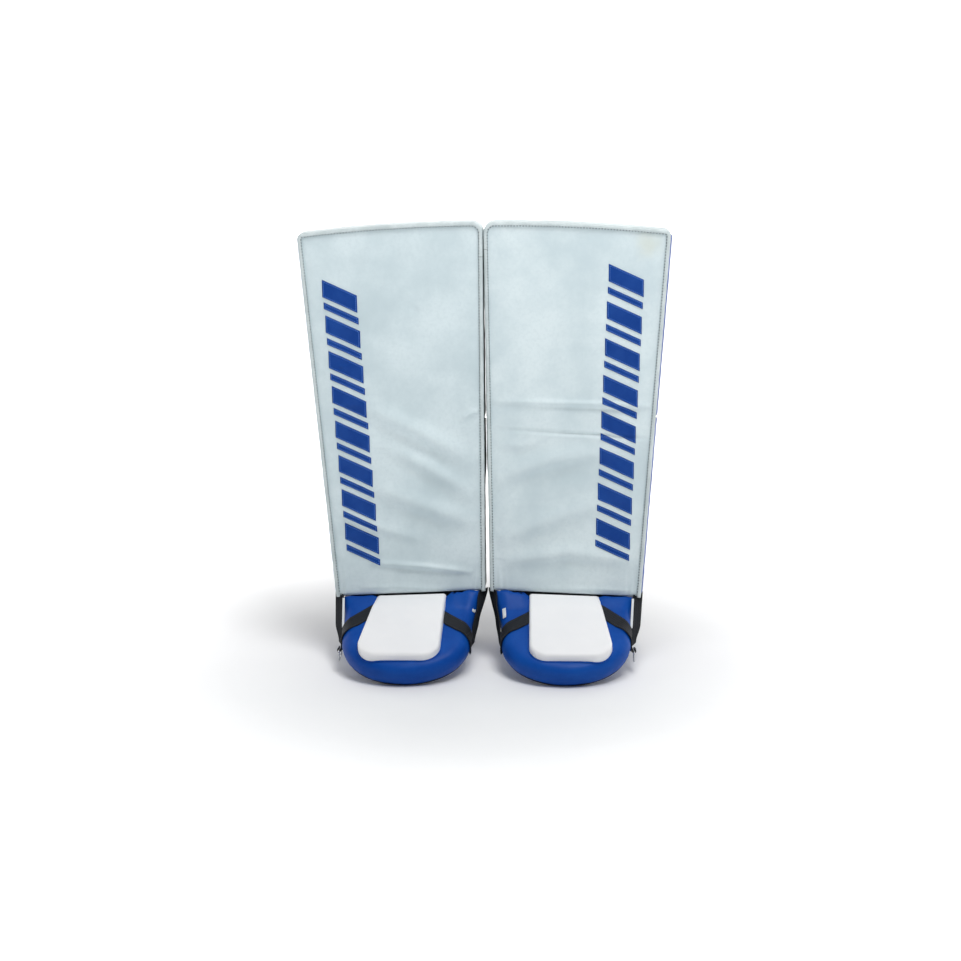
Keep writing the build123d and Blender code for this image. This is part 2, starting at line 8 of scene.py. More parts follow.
# Goalie leg pads. Shapes are worked out in millimetres, for the wearer's left pad (+X),
# and mirrored for the right pad. Folds and bars differ from one pad to the other.
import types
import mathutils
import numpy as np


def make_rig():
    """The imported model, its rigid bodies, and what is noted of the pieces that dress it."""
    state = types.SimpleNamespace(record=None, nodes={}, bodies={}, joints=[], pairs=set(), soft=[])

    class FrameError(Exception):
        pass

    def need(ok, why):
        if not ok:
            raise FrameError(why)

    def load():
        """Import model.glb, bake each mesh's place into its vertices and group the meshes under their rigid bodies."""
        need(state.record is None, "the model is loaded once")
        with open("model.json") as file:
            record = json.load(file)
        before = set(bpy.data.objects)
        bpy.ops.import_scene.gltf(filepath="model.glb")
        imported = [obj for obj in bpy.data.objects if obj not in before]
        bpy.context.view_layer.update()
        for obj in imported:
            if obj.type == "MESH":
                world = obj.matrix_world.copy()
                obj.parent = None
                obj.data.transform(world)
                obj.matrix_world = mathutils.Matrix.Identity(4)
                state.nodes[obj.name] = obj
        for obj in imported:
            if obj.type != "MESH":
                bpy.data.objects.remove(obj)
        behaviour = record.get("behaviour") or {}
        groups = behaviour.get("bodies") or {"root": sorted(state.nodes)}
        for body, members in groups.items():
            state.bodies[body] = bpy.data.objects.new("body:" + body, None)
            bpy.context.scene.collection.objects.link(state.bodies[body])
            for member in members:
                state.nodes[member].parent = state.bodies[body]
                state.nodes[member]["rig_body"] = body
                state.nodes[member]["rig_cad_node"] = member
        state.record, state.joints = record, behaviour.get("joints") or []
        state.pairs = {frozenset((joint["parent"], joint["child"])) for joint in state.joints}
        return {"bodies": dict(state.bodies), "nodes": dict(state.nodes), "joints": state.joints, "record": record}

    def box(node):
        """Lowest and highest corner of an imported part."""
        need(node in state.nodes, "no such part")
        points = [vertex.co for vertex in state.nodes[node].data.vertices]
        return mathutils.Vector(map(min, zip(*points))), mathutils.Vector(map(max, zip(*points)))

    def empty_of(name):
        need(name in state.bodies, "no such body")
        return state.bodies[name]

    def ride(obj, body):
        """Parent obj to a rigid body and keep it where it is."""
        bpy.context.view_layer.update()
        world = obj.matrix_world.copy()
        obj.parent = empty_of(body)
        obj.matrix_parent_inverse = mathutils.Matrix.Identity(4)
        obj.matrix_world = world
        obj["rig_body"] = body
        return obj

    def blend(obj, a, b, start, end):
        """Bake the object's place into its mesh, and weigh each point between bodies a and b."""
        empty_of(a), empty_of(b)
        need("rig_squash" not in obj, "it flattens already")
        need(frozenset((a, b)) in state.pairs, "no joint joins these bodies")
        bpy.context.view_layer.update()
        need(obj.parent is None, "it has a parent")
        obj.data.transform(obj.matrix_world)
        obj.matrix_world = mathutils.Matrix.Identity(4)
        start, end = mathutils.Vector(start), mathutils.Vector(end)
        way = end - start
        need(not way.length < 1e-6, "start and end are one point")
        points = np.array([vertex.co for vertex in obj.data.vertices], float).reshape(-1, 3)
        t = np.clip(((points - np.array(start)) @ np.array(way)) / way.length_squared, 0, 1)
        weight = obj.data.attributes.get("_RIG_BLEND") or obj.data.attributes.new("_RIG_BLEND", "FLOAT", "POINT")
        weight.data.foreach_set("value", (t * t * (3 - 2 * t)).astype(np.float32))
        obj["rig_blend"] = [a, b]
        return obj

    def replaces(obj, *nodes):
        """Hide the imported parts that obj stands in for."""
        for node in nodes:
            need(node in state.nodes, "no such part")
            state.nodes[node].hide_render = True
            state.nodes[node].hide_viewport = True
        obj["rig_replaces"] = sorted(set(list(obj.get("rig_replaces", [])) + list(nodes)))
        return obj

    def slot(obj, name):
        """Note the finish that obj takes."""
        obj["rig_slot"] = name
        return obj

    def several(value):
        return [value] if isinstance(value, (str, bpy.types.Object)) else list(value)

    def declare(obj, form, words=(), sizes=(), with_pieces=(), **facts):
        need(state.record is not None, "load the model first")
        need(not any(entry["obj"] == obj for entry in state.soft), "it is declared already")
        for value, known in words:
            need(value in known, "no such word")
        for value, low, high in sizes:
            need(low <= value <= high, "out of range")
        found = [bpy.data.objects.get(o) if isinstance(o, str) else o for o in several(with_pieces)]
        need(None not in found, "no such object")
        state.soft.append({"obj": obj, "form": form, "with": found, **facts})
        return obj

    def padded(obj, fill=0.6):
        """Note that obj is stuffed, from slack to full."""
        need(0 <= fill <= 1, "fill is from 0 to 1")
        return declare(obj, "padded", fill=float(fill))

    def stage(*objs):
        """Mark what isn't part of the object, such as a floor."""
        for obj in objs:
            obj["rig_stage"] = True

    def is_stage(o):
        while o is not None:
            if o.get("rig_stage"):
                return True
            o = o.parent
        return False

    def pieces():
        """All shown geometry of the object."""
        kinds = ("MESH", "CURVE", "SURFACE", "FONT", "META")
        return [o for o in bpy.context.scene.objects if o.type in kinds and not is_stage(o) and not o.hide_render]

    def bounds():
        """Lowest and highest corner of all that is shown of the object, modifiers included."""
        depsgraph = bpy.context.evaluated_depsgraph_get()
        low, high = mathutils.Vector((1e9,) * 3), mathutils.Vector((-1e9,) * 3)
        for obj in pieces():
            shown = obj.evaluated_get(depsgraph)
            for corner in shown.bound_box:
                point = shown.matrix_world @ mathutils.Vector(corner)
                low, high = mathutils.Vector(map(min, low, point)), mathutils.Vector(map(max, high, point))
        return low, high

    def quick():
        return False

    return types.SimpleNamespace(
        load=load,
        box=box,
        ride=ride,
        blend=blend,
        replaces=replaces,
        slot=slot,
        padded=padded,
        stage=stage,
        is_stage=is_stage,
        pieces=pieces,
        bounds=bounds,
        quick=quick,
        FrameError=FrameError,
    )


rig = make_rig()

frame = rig.load()
cad_low, cad_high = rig.bounds()

MM = 0.001
SIDES = (("left", 1), ("right", -1))


def vec(*values):
    return Vector(values)


front, rearward = vec(0.0, -1.0, 0.0), vec(0.0, 1.0, 0.0)
outward, upward = vec(1.0, 0.0, 0.0), vec(0.0, 0.0, 1.0)


# ------------------------------------------------------------------ materials
class Graph:
    """A short way to write one material's nodes."""

    def __init__(self, name):
        self.material = bpy.data.materials.new(name)
        self.material.use_nodes = True
        self.tree = self.material.node_tree
        self.shader = self.tree.nodes["Principled BSDF"]

    def add(self, kind, inputs=None, **settings):
        made = self.tree.nodes.new("ShaderNode" + kind)
        for key, value in settings.items():
            setattr(made, key, value)
        for key, value in (inputs or {}).items():
            self.put(made.inputs[key], value)
        return made

    def put(self, socket, value):
        if isinstance(value, bpy.types.NodeSocket):
            self.tree.links.new(value, socket)
        else:
            socket.default_value = value

    def place(self):
        """Where a point of the piece was when the piece was made, in metres."""
        return self.add("Attribute", attribute_name="place").outputs["Vector"]

    def object_place(self):
        return self.add("TexCoord").outputs["Object"]

    def noise(self, vector, scale, detail=4.0, roughness=0.55):
        inputs = {"Vector": vector, "Scale": scale, "Detail": detail, "Roughness": roughness}
        return self.add("TexNoise", inputs).outputs["Fac"]

    def math(self, operation, first, second=0.0):
        return self.add("Math", {0: first, 1: second}, operation=operation).outputs[0]

    def spread(self, value, low, high, to_low, to_high):
        inputs = {"Value": value, "From Min": low, "From Max": high}
        inputs.update({"To Min": to_low, "To Max": to_high})
        return self.add("MapRange", inputs, interpolation_type="SMOOTHSTEP").outputs["Result"]

    def mix(self, factor, first, second, blend="MIX"):
        made = self.add("Mix", data_type="RGBA", blend_type=blend)
        self.put(made.inputs["Factor"], factor)
        self.put(made.inputs[6], first)
        self.put(made.inputs[7], second)
        return made.outputs[2]

    def bump(self, height, strength, distance, normal=None):
        inputs = {"Height": height, "Strength": strength, "Distance": distance}
        if normal is not None:
            inputs["Normal"] = normal
        return self.add("Bump", inputs).outputs["Normal"]

    def finish(self, color, roughness, normal=None, **fixed):
        self.put(self.shader.inputs["Base Color"], color)
        self.put(self.shader.inputs["Roughness"], roughness)
        if normal is not None:
            self.put(self.shader.inputs["Normal"], normal)
        for key, value in fixed.items():
            self.shader.inputs[key.replace("_", " ")].default_value = value
        return self.material


def rgb(red, green, blue):
    return (red, green, blue, 1.0)


def leather(name, base, worn, roughness=0.45, grain=900.0, mottle=9.0, soil=None, **fixed):
    """Synthetic leather: pebble grain, soft mottling, fine creases and, at soil, a stain."""
    g = Graph(name)
    place = g.place()
    patches = g.spread(g.noise(place, mottle, 5.0, 0.6), 0.35, 0.68, 0.0, 1.0)
    flecks = g.spread(g.noise(place, 160.0, 3.0, 0.6), 0.4, 0.75, 0.0, 0.35)
    color = g.mix(patches, base, worn)
    color = g.mix(flecks, color, worn)
    if soil is not None:
        centre, reach, tint = soil
        away = g.add("VectorMath", {0: place, 1: centre}, operation="DISTANCE").outputs["Value"]
        edge = g.math("ADD", away, g.math("MULTIPLY", g.noise(place, 40.0), reach))
        color = g.mix(g.spread(edge, reach * 0.5, reach * 1.6, 0.55, 0.0), color, tint)
    cells = g.add("TexVoronoi", {"Vector": place, "Scale": grain}, feature="SMOOTH_F1")
    pebble = g.bump(cells.outputs["Distance"], 0.22, 0.0004)
    creases = g.noise(place, 210.0, 6.0, 0.7)
    normal = g.bump(creases, 0.10, 0.0010, pebble)
    gloss = g.spread(g.noise(place, 24.0), 0.3, 0.7, roughness - 0.07, roughness + 0.09)
    return g.finish(color, gloss, normal, **fixed)


def cloth(name, base, raised, pitch, roughness=0.8):
    """Woven cloth: threads cross over and under, at pitch metres, whichever way it faces."""
    g = Graph(name)
    place = g.place()
    axes = g.add("SeparateXYZ", {"Vector": place}).outputs
    wave = 2 * math.pi / pitch
    warp = g.math("SINE", g.math("MULTIPLY", g.math("ADD", axes["X"], axes["Y"]), wave))
    weft = g.math("SINE", g.math("MULTIPLY", axes["Z"], wave))
    weave = g.spread(g.math("MULTIPLY", warp, weft), -0.8, 0.8, 0.0, 1.0)
    dust = g.spread(g.noise(place, 30.0, 5.0), 0.35, 0.75, 0.0, 0.6)
    color = g.mix(g.math("MULTIPLY", weave, 0.7), base, raised)
    color = g.mix(dust, color, raised)
    normal = g.bump(weave, 0.5, pitch / 4)
    normal = g.bump(g.noise(place, 1800.0, 2.0), 0.2, 0.0003, normal)
    gloss = g.spread(g.noise(place, 50.0), 0.3, 0.7, roughness - 0.08, roughness + 0.08)
    return g.finish(color, gloss, normal)


def tape(name, base, raised, rib, column, roughness=0.62, **fixed):
    """Webbing: ribs across it and columns along it, laid out on its own length and width."""
    g = Graph(name)
    flat = g.add("UVMap", uv_map="strip").outputs["UV"]
    axes = g.add("SeparateXYZ", {"Vector": flat}).outputs
    ribs = g.math("SINE", g.math("MULTIPLY", axes["X"], 2 * math.pi / rib))
    columns = g.math("SINE", g.math("MULTIPLY", axes["Y"], 2 * math.pi / column))
    lean = g.math("MULTIPLY", columns, 0.6)
    weave = g.spread(g.math("ADD", ribs, lean), -1.4, 1.4, 0.0, 1.0)
    fuzz = g.spread(g.noise(g.place(), 300.0, 4.0), 0.4, 0.8, 0.0, 0.5)
    color = g.mix(g.math("MULTIPLY", weave, 0.8), base, raised)
    color = g.mix(fuzz, color, raised)
    normal = g.bump(weave, 0.6, rib / 3)
    gloss = g.spread(weave, 0.0, 1.0, roughness + 0.12, roughness - 0.06)
    return g.finish(color, gloss, normal, **fixed)


def thread(name, base, lit):
    """Sewing thread, twisted from two tones."""
    g = Graph(name)
    place = g.place()
    twist = g.spread(g.noise(place, 900.0, 2.0), 0.3, 0.7, 0.0, 1.0)
    return g.finish(g.mix(twist, base, lit), g.spread(twist, 0.0, 1.0, 0.5, 0.7),
                    g.bump(twist, 0.4, 0.0003))


def metal(name, base, scratched):
    """Plated metal with fine marks in one direction."""
    g = Graph(name)
    place = g.object_place()
    drawn = g.add("Mapping", {"Vector": place, "Scale": (300.0, 60.0, 900.0)}).outputs["Vector"]
    marks = g.spread(g.noise(drawn, 4.0, 6.0, 0.7), 0.35, 0.7, 0.0, 1.0)
    return g.finish(g.mix(marks, base, scratched), g.spread(marks, 0.0, 1.0, 0.22, 0.42),
                    g.bump(marks, 0.15, 0.0002), Metallic=1.0)


soft_coat = {"Coat_Weight": 0.12, "Coat_Roughness": 0.35}
soil_spot, soil_reach = (0.273, 0.0, 0.716), 0.030
front_white = {
    "left": leather(
        "front_white_left", rgb(0.67, 0.765, 0.79), rgb(0.53, 0.635, 0.67), 0.5, 820.0, 8.0,
        (soil_spot, soil_reach, rgb(0.56, 0.60, 0.52)), **soft_coat),
    "right": leather("front_white_right", rgb(0.65, 0.75, 0.78), rgb(0.51, 0.615, 0.65),
                     0.5, 820.0, 7.0, **soft_coat),
}
bound_white = leather("bound_white", rgb(0.60, 0.67, 0.68), rgb(0.47, 0.54, 0.55),
                      0.42, 1100.0, 20.0)
panel_white = leather("panel_white", rgb(0.93, 0.925, 0.93), rgb(0.90, 0.90, 0.91),
                      0.5, 900.0, 12.0)
boot_blue = leather("boot_blue", rgb(0.001, 0.055, 0.315), rgb(0.004, 0.074, 0.37),
                    0.44, 950.0, 14.0,
                    Specular_IOR_Level=0.13, Coat_Weight=0.03, Coat_Roughness=0.3)
side_blue = leather("side_blue", rgb(0.003, 0.05, 0.28), rgb(0.008, 0.07, 0.34),
                    0.42, 900.0, 14.0, Specular_IOR_Level=0.25)
bar_blue = leather("bar_blue", rgb(0.003, 0.042, 0.235), rgb(0.008, 0.055, 0.27),
                   0.5, 1300.0, 30.0, Specular_IOR_Level=0.12)
black_leather = leather("black_leather", rgb(0.012, 0.012, 0.014), rgb(0.03, 0.03, 0.034), 0.45)
nylon = cloth("black_nylon", rgb(0.010, 0.011, 0.014), rgb(0.034, 0.036, 0.042), 0.0016)
lining = cloth("grey_lining", rgb(0.16, 0.17, 0.19), rgb(0.24, 0.25, 0.27), 0.0022, 0.9)
web_tones = (rgb(0.004, 0.005, 0.008), rgb(0.014, 0.017, 0.023))
webbing_black = tape("black_webbing", *web_tones, 0.0016, 0.0042, Specular_IOR_Level=0.3)
ribbed_black = tape("ribbed_black", *web_tones, 0.0032, 0.0065, Specular_IOR_Level=0.3)
binding_black = tape("binding_black", rgb(0.008, 0.008, 0.010), rgb(0.03, 0.03, 0.034),
                     0.0011, 0.0030)
hook_tape = cloth("hook_tape", rgb(0.008, 0.008, 0.009), rgb(0.05, 0.05, 0.055), 0.0012, 0.7)
grey_thread = thread("grey_thread", rgb(0.085, 0.11, 0.13), rgb(0.19, 0.23, 0.25))
blue_thread = thread("blue_thread", rgb(0.05, 0.17, 0.60), rgb(0.14, 0.30, 0.76))
black_thread = thread("black_thread", rgb(0.02, 0.02, 0.022), rgb(0.06, 0.06, 0.065))
steel = metal("nickel_steel", rgb(0.62, 0.63, 0.65), rgb(0.42, 0.43, 0.45))
knee_cover = leather("knee_cover", rgb(0.010, 0.07, 0.36), rgb(0.02, 0.10, 0.42), 0.5, 900.0, 16.0)
# Dark grey-olive leather for the pads' inner side walls. This is painted shade for the shadow in the narrow gap where
# the two pads nearly touch.
inner_side = leather("inner_side", rgb(0.13, 0.14, 0.13), rgb(0.09, 0.10, 0.095), 0.6)
white_tag = cloth("white_tag", rgb(0.72, 0.75, 0.77), rgb(0.82, 0.84, 0.85), 0.0012, 0.7)


# ------------------------------------------------------------------ mesh helpers
class Shape:
    """Points and faces gathered for one piece, in millimetres."""

    def __init__(self):
        self.points, self.faces, self.slots, self.strip = [], [], [], {}

    def rows(self, rows, slot=0, loop=False):
        """Faces over rows of points. Every row has as many points as the others."""
        start, width = len(self.points), len(rows[0])
        for row in rows:
            self.points.extend(row)
        for i in range(len(rows) - 1):
            for j in range(width if loop else width - 1):
                k = (j + 1) % width
                low, high = start + i * width, start + (i + 1) * width
                self.faces.append((low + j, low + k, high + k, high + j))
                self.slots.append(slot)
        return start

    def cap(self, indices, slot=0):
        self.faces.append(tuple(indices))
        self.slots.append(slot)

    def closed_rows(self, rows, slot=0):
        """A tube through loops of points, closed at both ends."""
        start, width = self.rows(rows, slot, loop=True), len(rows[0])
        self.cap(range(start, start + width), slot)
        end = start + (len(rows) - 1) * width
        self.cap(reversed(range(end, end + width)), slot)

    def crowned_rings(self, rings, slot=0):
        """Faces over closed rings, with a cap on the last one."""
        start, width = self.rows(rings, slot, loop=True), len(rings[0])
        end = start + (len(rings) - 1) * width
        self.cap(range(end, end + width), slot)


def make_mesh(name, shape, side):
    """The shape's mesh in metres, mirrored for the right pad."""
    mesh = bpy.data.meshes.new(name)
    points = [(side * x * MM, y * MM, z * MM) for x, y, z in shape.points]
    mesh.from_pydata(points, [], shape.faces)
    mesh.polygons.foreach_set("material_index", shape.slots)
    if shape.strip:
        layer = mesh.uv_layers.new(name="strip")
        for loop in mesh.loops:
            along, across = shape.strip.get(loop.vertex_index, (0.0, 0.0))
            layer.data[loop.index].uv = (along * MM, across * MM)
    work = bmesh.new()
    work.from_mesh(mesh)
    bmesh.ops.remove_doubles(work, verts=work.verts, dist=0.00002)
    bmesh.ops.recalc_face_normals(work, faces=work.faces)
    work.to_mesh(mesh)
    work.free()
    return mesh


def make_piece(name, shape, side, *materials):
    """One Blender object, with the place of each point kept for its materials."""
    made = bpy.data.objects.new(name, make_mesh(name, shape, side))
    bpy.context.scene.collection.objects.link(made)
    for material in materials:
        made.data.materials.append(material)
    smooth(made.data)
    keep_place(made)
    return made


def smooth(mesh):
    """Shade every face of a mesh smoothly."""
    mesh.polygons.foreach_set("use_smooth", [True] * len(mesh.polygons))


def keep_place(piece):
    """Store where each point is now, for Graph.place."""
    mesh = piece.data
    old = mesh.attributes.get("place")
    if old is not None:
        mesh.attributes.remove(old)
    layer = mesh.attributes.new("place", "FLOAT_VECTOR", "POINT")
    layer.data.foreach_set("vector", [value for v in mesh.vertices for value in v.co])


def soften(piece):
    """Round a piece off with a subdivision surface, applied to its mesh."""
    modifier = piece.modifiers.new("soften", "SUBSURF")
    modifier.levels = modifier.render_levels = 1
    apply_modifiers(piece)


def apply_modifiers(piece):
    graph = bpy.context.evaluated_depsgraph_get()
    mesh = bpy.data.meshes.new_from_object(piece.evaluated_get(graph))
    piece.modifiers.clear()
    old, piece.data = piece.data, mesh
    mesh.name = piece.name
    bpy.data.meshes.remove(old)
    keep_place(piece)


def mirrored(piece, name):
    """The right pad's twin of a finished left piece."""
    twin = piece.copy()
    twin.data = piece.data.copy()
    twin.name = twin.data.name = name
    twin.data.transform(Matrix.Scale(-1, 4, (1, 0, 0)))
    twin.data.flip_normals()
    bpy.context.scene.collection.objects.link(twin)
    keep_place(twin)
    return twin


def fit(piece, body, slot, stands_for=(), fill=None, blend=None):
    """Say what a piece moves with, its slot, the nodes it stands for and its stuffing."""
    if blend is None:
        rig.ride(piece, body)
    else:
        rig.blend(piece, body, *blend)
    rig.slot(piece, slot)
    if stands_for:
        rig.replaces(piece, *stands_for)
    if fill is not None:
        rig.padded(piece, fill=fill)


def both(left, body, slot, stands_for=None, fill=None, blend_to=None):
    """Fit a finished left piece and its mirrored twin."""
    right = mirrored(left, "right_" + left.name[len("left_"):])
    for side_name, piece in (("left", left), ("right", right)):
        nodes = [f"{side_name}_{stands_for}"] if stands_for else []
        blend = blend_to and (f"{side_name}_{blend_to[0]}", *blend_to[1:])
        fit(piece, f"{side_name}_{body}", slot, nodes, fill, blend)


def smoothstep(value, low=0.0, high=1.0):
    """0 below low, 1 above high, and a soft step between."""
    t = min(1.0, max(0.0, (value - low) / (high - low)))
    return t * t * (3 - 2 * t)


def section_loop(half_width, half_thickness, edge=0.8):
    """A webbing section: flat faces and rounded edges, as (across, out) pairs."""
    inner, near, low = half_width - edge, half_width - edge * 0.3, half_thickness * 0.75
    over = [(x, half_thickness) for x in (-inner, -inner / 2, 0.0, inner / 2, inner)]
    under = [(x, -half_thickness) for x in (inner, 0.0, -inner)]
    return [(-half_width, 0.0), (-near, low), *over, (near, low),
            (half_width, 0.0), (near, -low), *under, (-near, -low)]


def run_at(points, index):
    """The run of a line of points at one of them, from the one before to the one after."""
    return points[min(index + 1, len(points) - 1)] - points[max(index - 1, 0)]


def ribbon(shape, stations, width, thickness):
    """A strap through stations of (centre, across, outward), as vectors in millimetres."""
    loop = section_loop(width / 2, thickness / 2)
    rows, along, flat = [], 0.0, []
    for index, (centre, across, out) in enumerate(stations):
        if index:
            along += (centre - stations[index - 1][0]).length
        rows.append([tuple(centre + across * a + out * b) for a, b in loop])
        flat.extend((along, a + b) for a, b in loop)
    start = len(shape.points)
    shape.closed_rows(rows)
    shape.strip.update({start + index: pair for index, pair in enumerate(flat)})


def stations_along(path, outs):
    """Stations for a strip that lies flat on a surface, given its outward directions."""
    return [(here, out.cross(run_at(path, index)).normalized(), out)
            for index, (here, out) in enumerate(zip(path, outs))]


def stitches(shape, path, outs, pitch, length, radius):
    """Short raised stitches along a path of points, each with its outward direction."""
    travelled, due = 0.0, pitch / 2
    for a, b, out in zip(path, path[1:], outs):
        run = (b - a).length
        if run < 1e-6:
            continue
        ahead = (b - a) / run
        while due <= travelled + run:
            centre = a + ahead * (due - travelled)
            across, top = ahead.cross(out).normalized() * radius, out * radius
            reach, start = ahead * length / 2, len(shape.points)
            near, far = centre - reach / 2, centre + reach / 2
            shape.points.extend(tuple(p) for p in (
                centre - reach, near + across, near + top, near - across,
                far + across, far + top, far - across, centre + reach))
            for corners in ((0, 1, 2), (0, 2, 3), (1, 4, 5, 2), (2, 5, 6, 3), (4, 7, 5),
                            (5, 7, 6), (0, 3, 1), (1, 3, 6, 4), (4, 6, 7)):
                shape.cap([start + i for i in corners])
            due += pitch
        travelled += run


def divided(a, b, count):
    """Evenly spaced (u, v) places from a up to, but not at, b."""
    (au, av), (bu, bv) = a, b
    return [(au + (bu - au) * k / count, av + (bv - av) * k / count) for k in range(count)]


def shifted_corner(before, here, after, inset):
    """A polygon's corner once both its edges have moved by inset to their right."""
    first, second = (here - before).normalized(), (after - here).normalized()
    start_a = here + vec(first.y, -first.x) * inset
    gap = here + vec(second.y, -second.x) * inset - start_a
    cross = first.x * second.y - first.y * second.x
    return start_a + first * ((gap.x * second.y - gap.y * second.x) / cross)


def moved_in(points, inset):
    """A closed polygon with each edge moved by inset to its right."""
    return [shifted_corner(points[k - 1], here, points[(k + 1) % len(points)], inset)
            for k, here in enumerate(points)]


def corner_arc(before, here, after, radius, count):
    """Points round a corner, from the end of one straight run to the start of the next."""
    back, ahead = (before - here).normalized(), (after - here).normalized()
    half = back.angle(ahead) / 2
    centre = here + (back + ahead).normalized() * radius / math.sin(half)
    start, end = (here + d * (radius / math.tan(half)) - centre for d in (back, ahead))
    return [centre + start.lerp(end, k / count).normalized() * radius for k in range(count + 1)]


def extend_straight(points, target, step=0.0, count=0):
    """Add evenly spaced points up to target: count of them, or one about every step."""
    if not points:
        points.append(target)
        return
    start = points[-1]
    count = count or max(1, round((target - start).length / step))
    points.extend(start.lerp(target, k / count) for k in range(1, count + 1))


# ------------------------------------------------------------------ the pad's outline
inner_bottom, inner_top = (4.5, 120.0), (1.0, 755.0)
outer_top, outer_bottom = (310.0, 738.0), (264.0, 109.0)
outline = [Vector(c) for c in (inner_bottom, inner_top, outer_top, outer_bottom)]
corner_radii = (8.0, 17.0, 9.0, 8.0)
top_arch = 5.0
pad_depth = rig.box("left_shin_back_cover")[1].y / MM
knee_y, knee_z = -2.0, 425.0
knee_slot_slope = math.tan(math.radians(9.0))
knee_start, knee_end = (0.0, 0.0, 0.396), (0.0, 0.0, 0.454)


def edges_at(z):
    """Where the pad's inner and outer edges are at height z."""
    share = (z - inner_bottom[1]) / (inner_top[1] - inner_bottom[1])
    return (inner_bottom[0] + (inner_top[0] - inner_bottom[0]) * share,
            outer_bottom[0] + (outer_top[0] - outer_bottom[0]) * share)


def arched(point):
    """The top edge is a shallow arch, which fades out below it."""
    x, z = point
    share = min(1.0, max(0.0, (x - inner_top[0]) / (outer_top[0] - inner_top[0])))
    top = inner_top[1] + (outer_top[1] - inner_top[1]) * share
    bottom = inner_bottom[1] + (outer_bottom[1] - inner_bottom[1]) * share
    rise = max(0.0, (z - bottom) / (top - bottom)) ** 8
    return vec(x, z + 4 * top_arch * share * (1 - share) * rise)


def outline_path(inset, closed=False, step=4.0):
    """Points and inward directions along the outline, up the inner edge, over and down."""
    corners = moved_in(outline, inset)
    points = [] if closed else [corners[0]]
    for index in (0, 1, 2, 3) if closed else (1, 2):
        arc = corner_arc(corners[index - 1], corners[index], corners[(index + 1) % 4],
                         max(1.5, corner_radii[index] - inset), 8)
        extend_straight(points, arc[0], step)
        points.extend(arc[1:])
    extend_straight(points, points[0] if closed else corners[3], step)
    if closed:
        points.pop()
    points = [arched(p) for p in points]
    inward, last = [], len(points) - 1
    for index, point in enumerate(points):
        before = points[index - 1] if closed or index else point
        after = points[(index + 1) % len(points)] if closed or index < last else point
        ahead = (after - before).normalized()
        inward.append(vec(ahead.y, -ahead.x))
    return points, inward


# ------------------------------------------------------------------ the face's relief
# Each fold is its crest in (distance from the middle, height), its half width, how far
# it stands out, and how deep the hollow under it is.
folds = {
    "right": (
        (((205, 446), (111, 401), (28, 354)), 15.0, 3.4, 3.0),
        (((160, 372), (95, 340), (30, 296)), 13.0, 2.7, 2.4),
        (((196, 306), (97, 269), (30, 245)), 15.0, 3.2, 2.4),
        (((257, 262), (175, 231), (110, 213)), 9.0, 1.6, 1.0),
        (((200, 171), (115, 166), (32, 155)), 5.0, 2.8, 0.9),
        (((218, 126), (150, 128), (77, 124)), 4.0, 1.0, 0.5),
        (((40, 421), (26, 434), (8, 439)), 4.0, 1.5, 1.2),
        (((255, 575), (262, 520), (262, 470)), 12.0, 0.8, 0.6),
    ),
    "left": (
        (((8, 455), (193, 449), (290, 445)), 5.0, 2.0, 1.3),
        (((10, 407), (193, 395), (284, 388)), 3.0, -1.3, -0.6),
        (((26, 322), (112, 353), (200, 368)), 15.0, 3.2, 3.2),
        (((34, 217), (117, 251), (190, 277)), 16.0, 2.6, 2.2),
        (((40, 176), (140, 190), (245, 176)), 13.0, 2.4, 2.0),
        (((106, 125), (185, 124), (255, 121)), 4.0, 1.0, 0.5),
        (((20, 380), (60, 378), (85, 386)), 8.0, 1.0, 0.8),
    ),
}
dimples = {"right": ((116.0, 611.0, 7.0, 1.8), (31.0, 437.0, 7.0, 1.4)), "left": ()}
noise_seed = {"right": 11.0, "left": 47.0}


def fold_relief(x, z, crest, half_width, height, hollow):
    """How far one fold lifts the face at (x, z)."""
    best, share, above = 1e9, 0.0, 0.0
    count = len(crest) - 1
    for index in range(count):
        ax, az = crest[index]
        bx, bz = crest[index + 1]
        dx, dz = bx - ax, bz - az
        t = ((x - ax) * dx + (z - az) * dz) / (dx * dx + dz * dz)
        t = min(1.0, max(0.0, t))
        ox, oz = x - ax - dx * t, z - az - dz * t
        away = math.hypot(ox, oz)
        if away < best:
            best, share, above = away, (index + t) / count, math.copysign(away, oz)
    if best > 5 * half_width:
        return 0.0
    ends = math.sin(math.pi * min(0.97, max(0.03, share))) ** 0.6
    crown = math.exp(-((above / half_width) ** 2))
    dip = math.exp(-(((above + 1.7 * half_width) / (1.2 * half_width)) ** 2))
    return ends * (2.6 * height * crown - 1.9 * hollow * dip)


def relief(side_name, x, z):
    """How far the face stands out at (x, z), in millimetres."""
    inner_edge, outer_edge = edges_at(z)
    across = (x - inner_edge) / (outer_edge - inner_edge)
    top = inner_top[1] + (outer_top[1] - inner_top[1]) * across
    edge = min(x - inner_edge, outer_edge - x, top - z)
    out = -1.6 * (1 - min(1.0, max(0.0, (edge - 5.0) / 22.0))) ** 2
    calm = smoothstep(edge, 6.0, 26.0)
    seed = noise_seed[side_name]
    out += calm * 1.3 * noise.noise(vec(x / 95.0, z / 120.0, seed))
    out += calm * 0.35 * noise.noise(vec(x / 28.0, z / 34.0, seed + 5.0))
    for fold in folds[side_name]:
        out += smoothstep(edge, 4.0, 16.0) * fold_relief(x, z, *fold)
    for cx, cz, radius, depth in dimples[side_name]:
        away = math.hypot(x - cx, (z - cz) * 1.5) / radius
        out -= depth * math.exp(-away * away)
    # Short pleats where the cover is gathered in at the two lower corners.
    low = smoothstep(180.0 - z, 0.0, 50.0)
    for corner in (inner_edge, outer_edge):
        gather = low * math.exp(-(((abs(x - corner) - 16.0) / 9.0) ** 2))
        out += gather * 0.9 * math.sin((x - corner) * 0.55 + z * 0.035)
    return out


hem_radius = 9.0
face_inset = 5.5


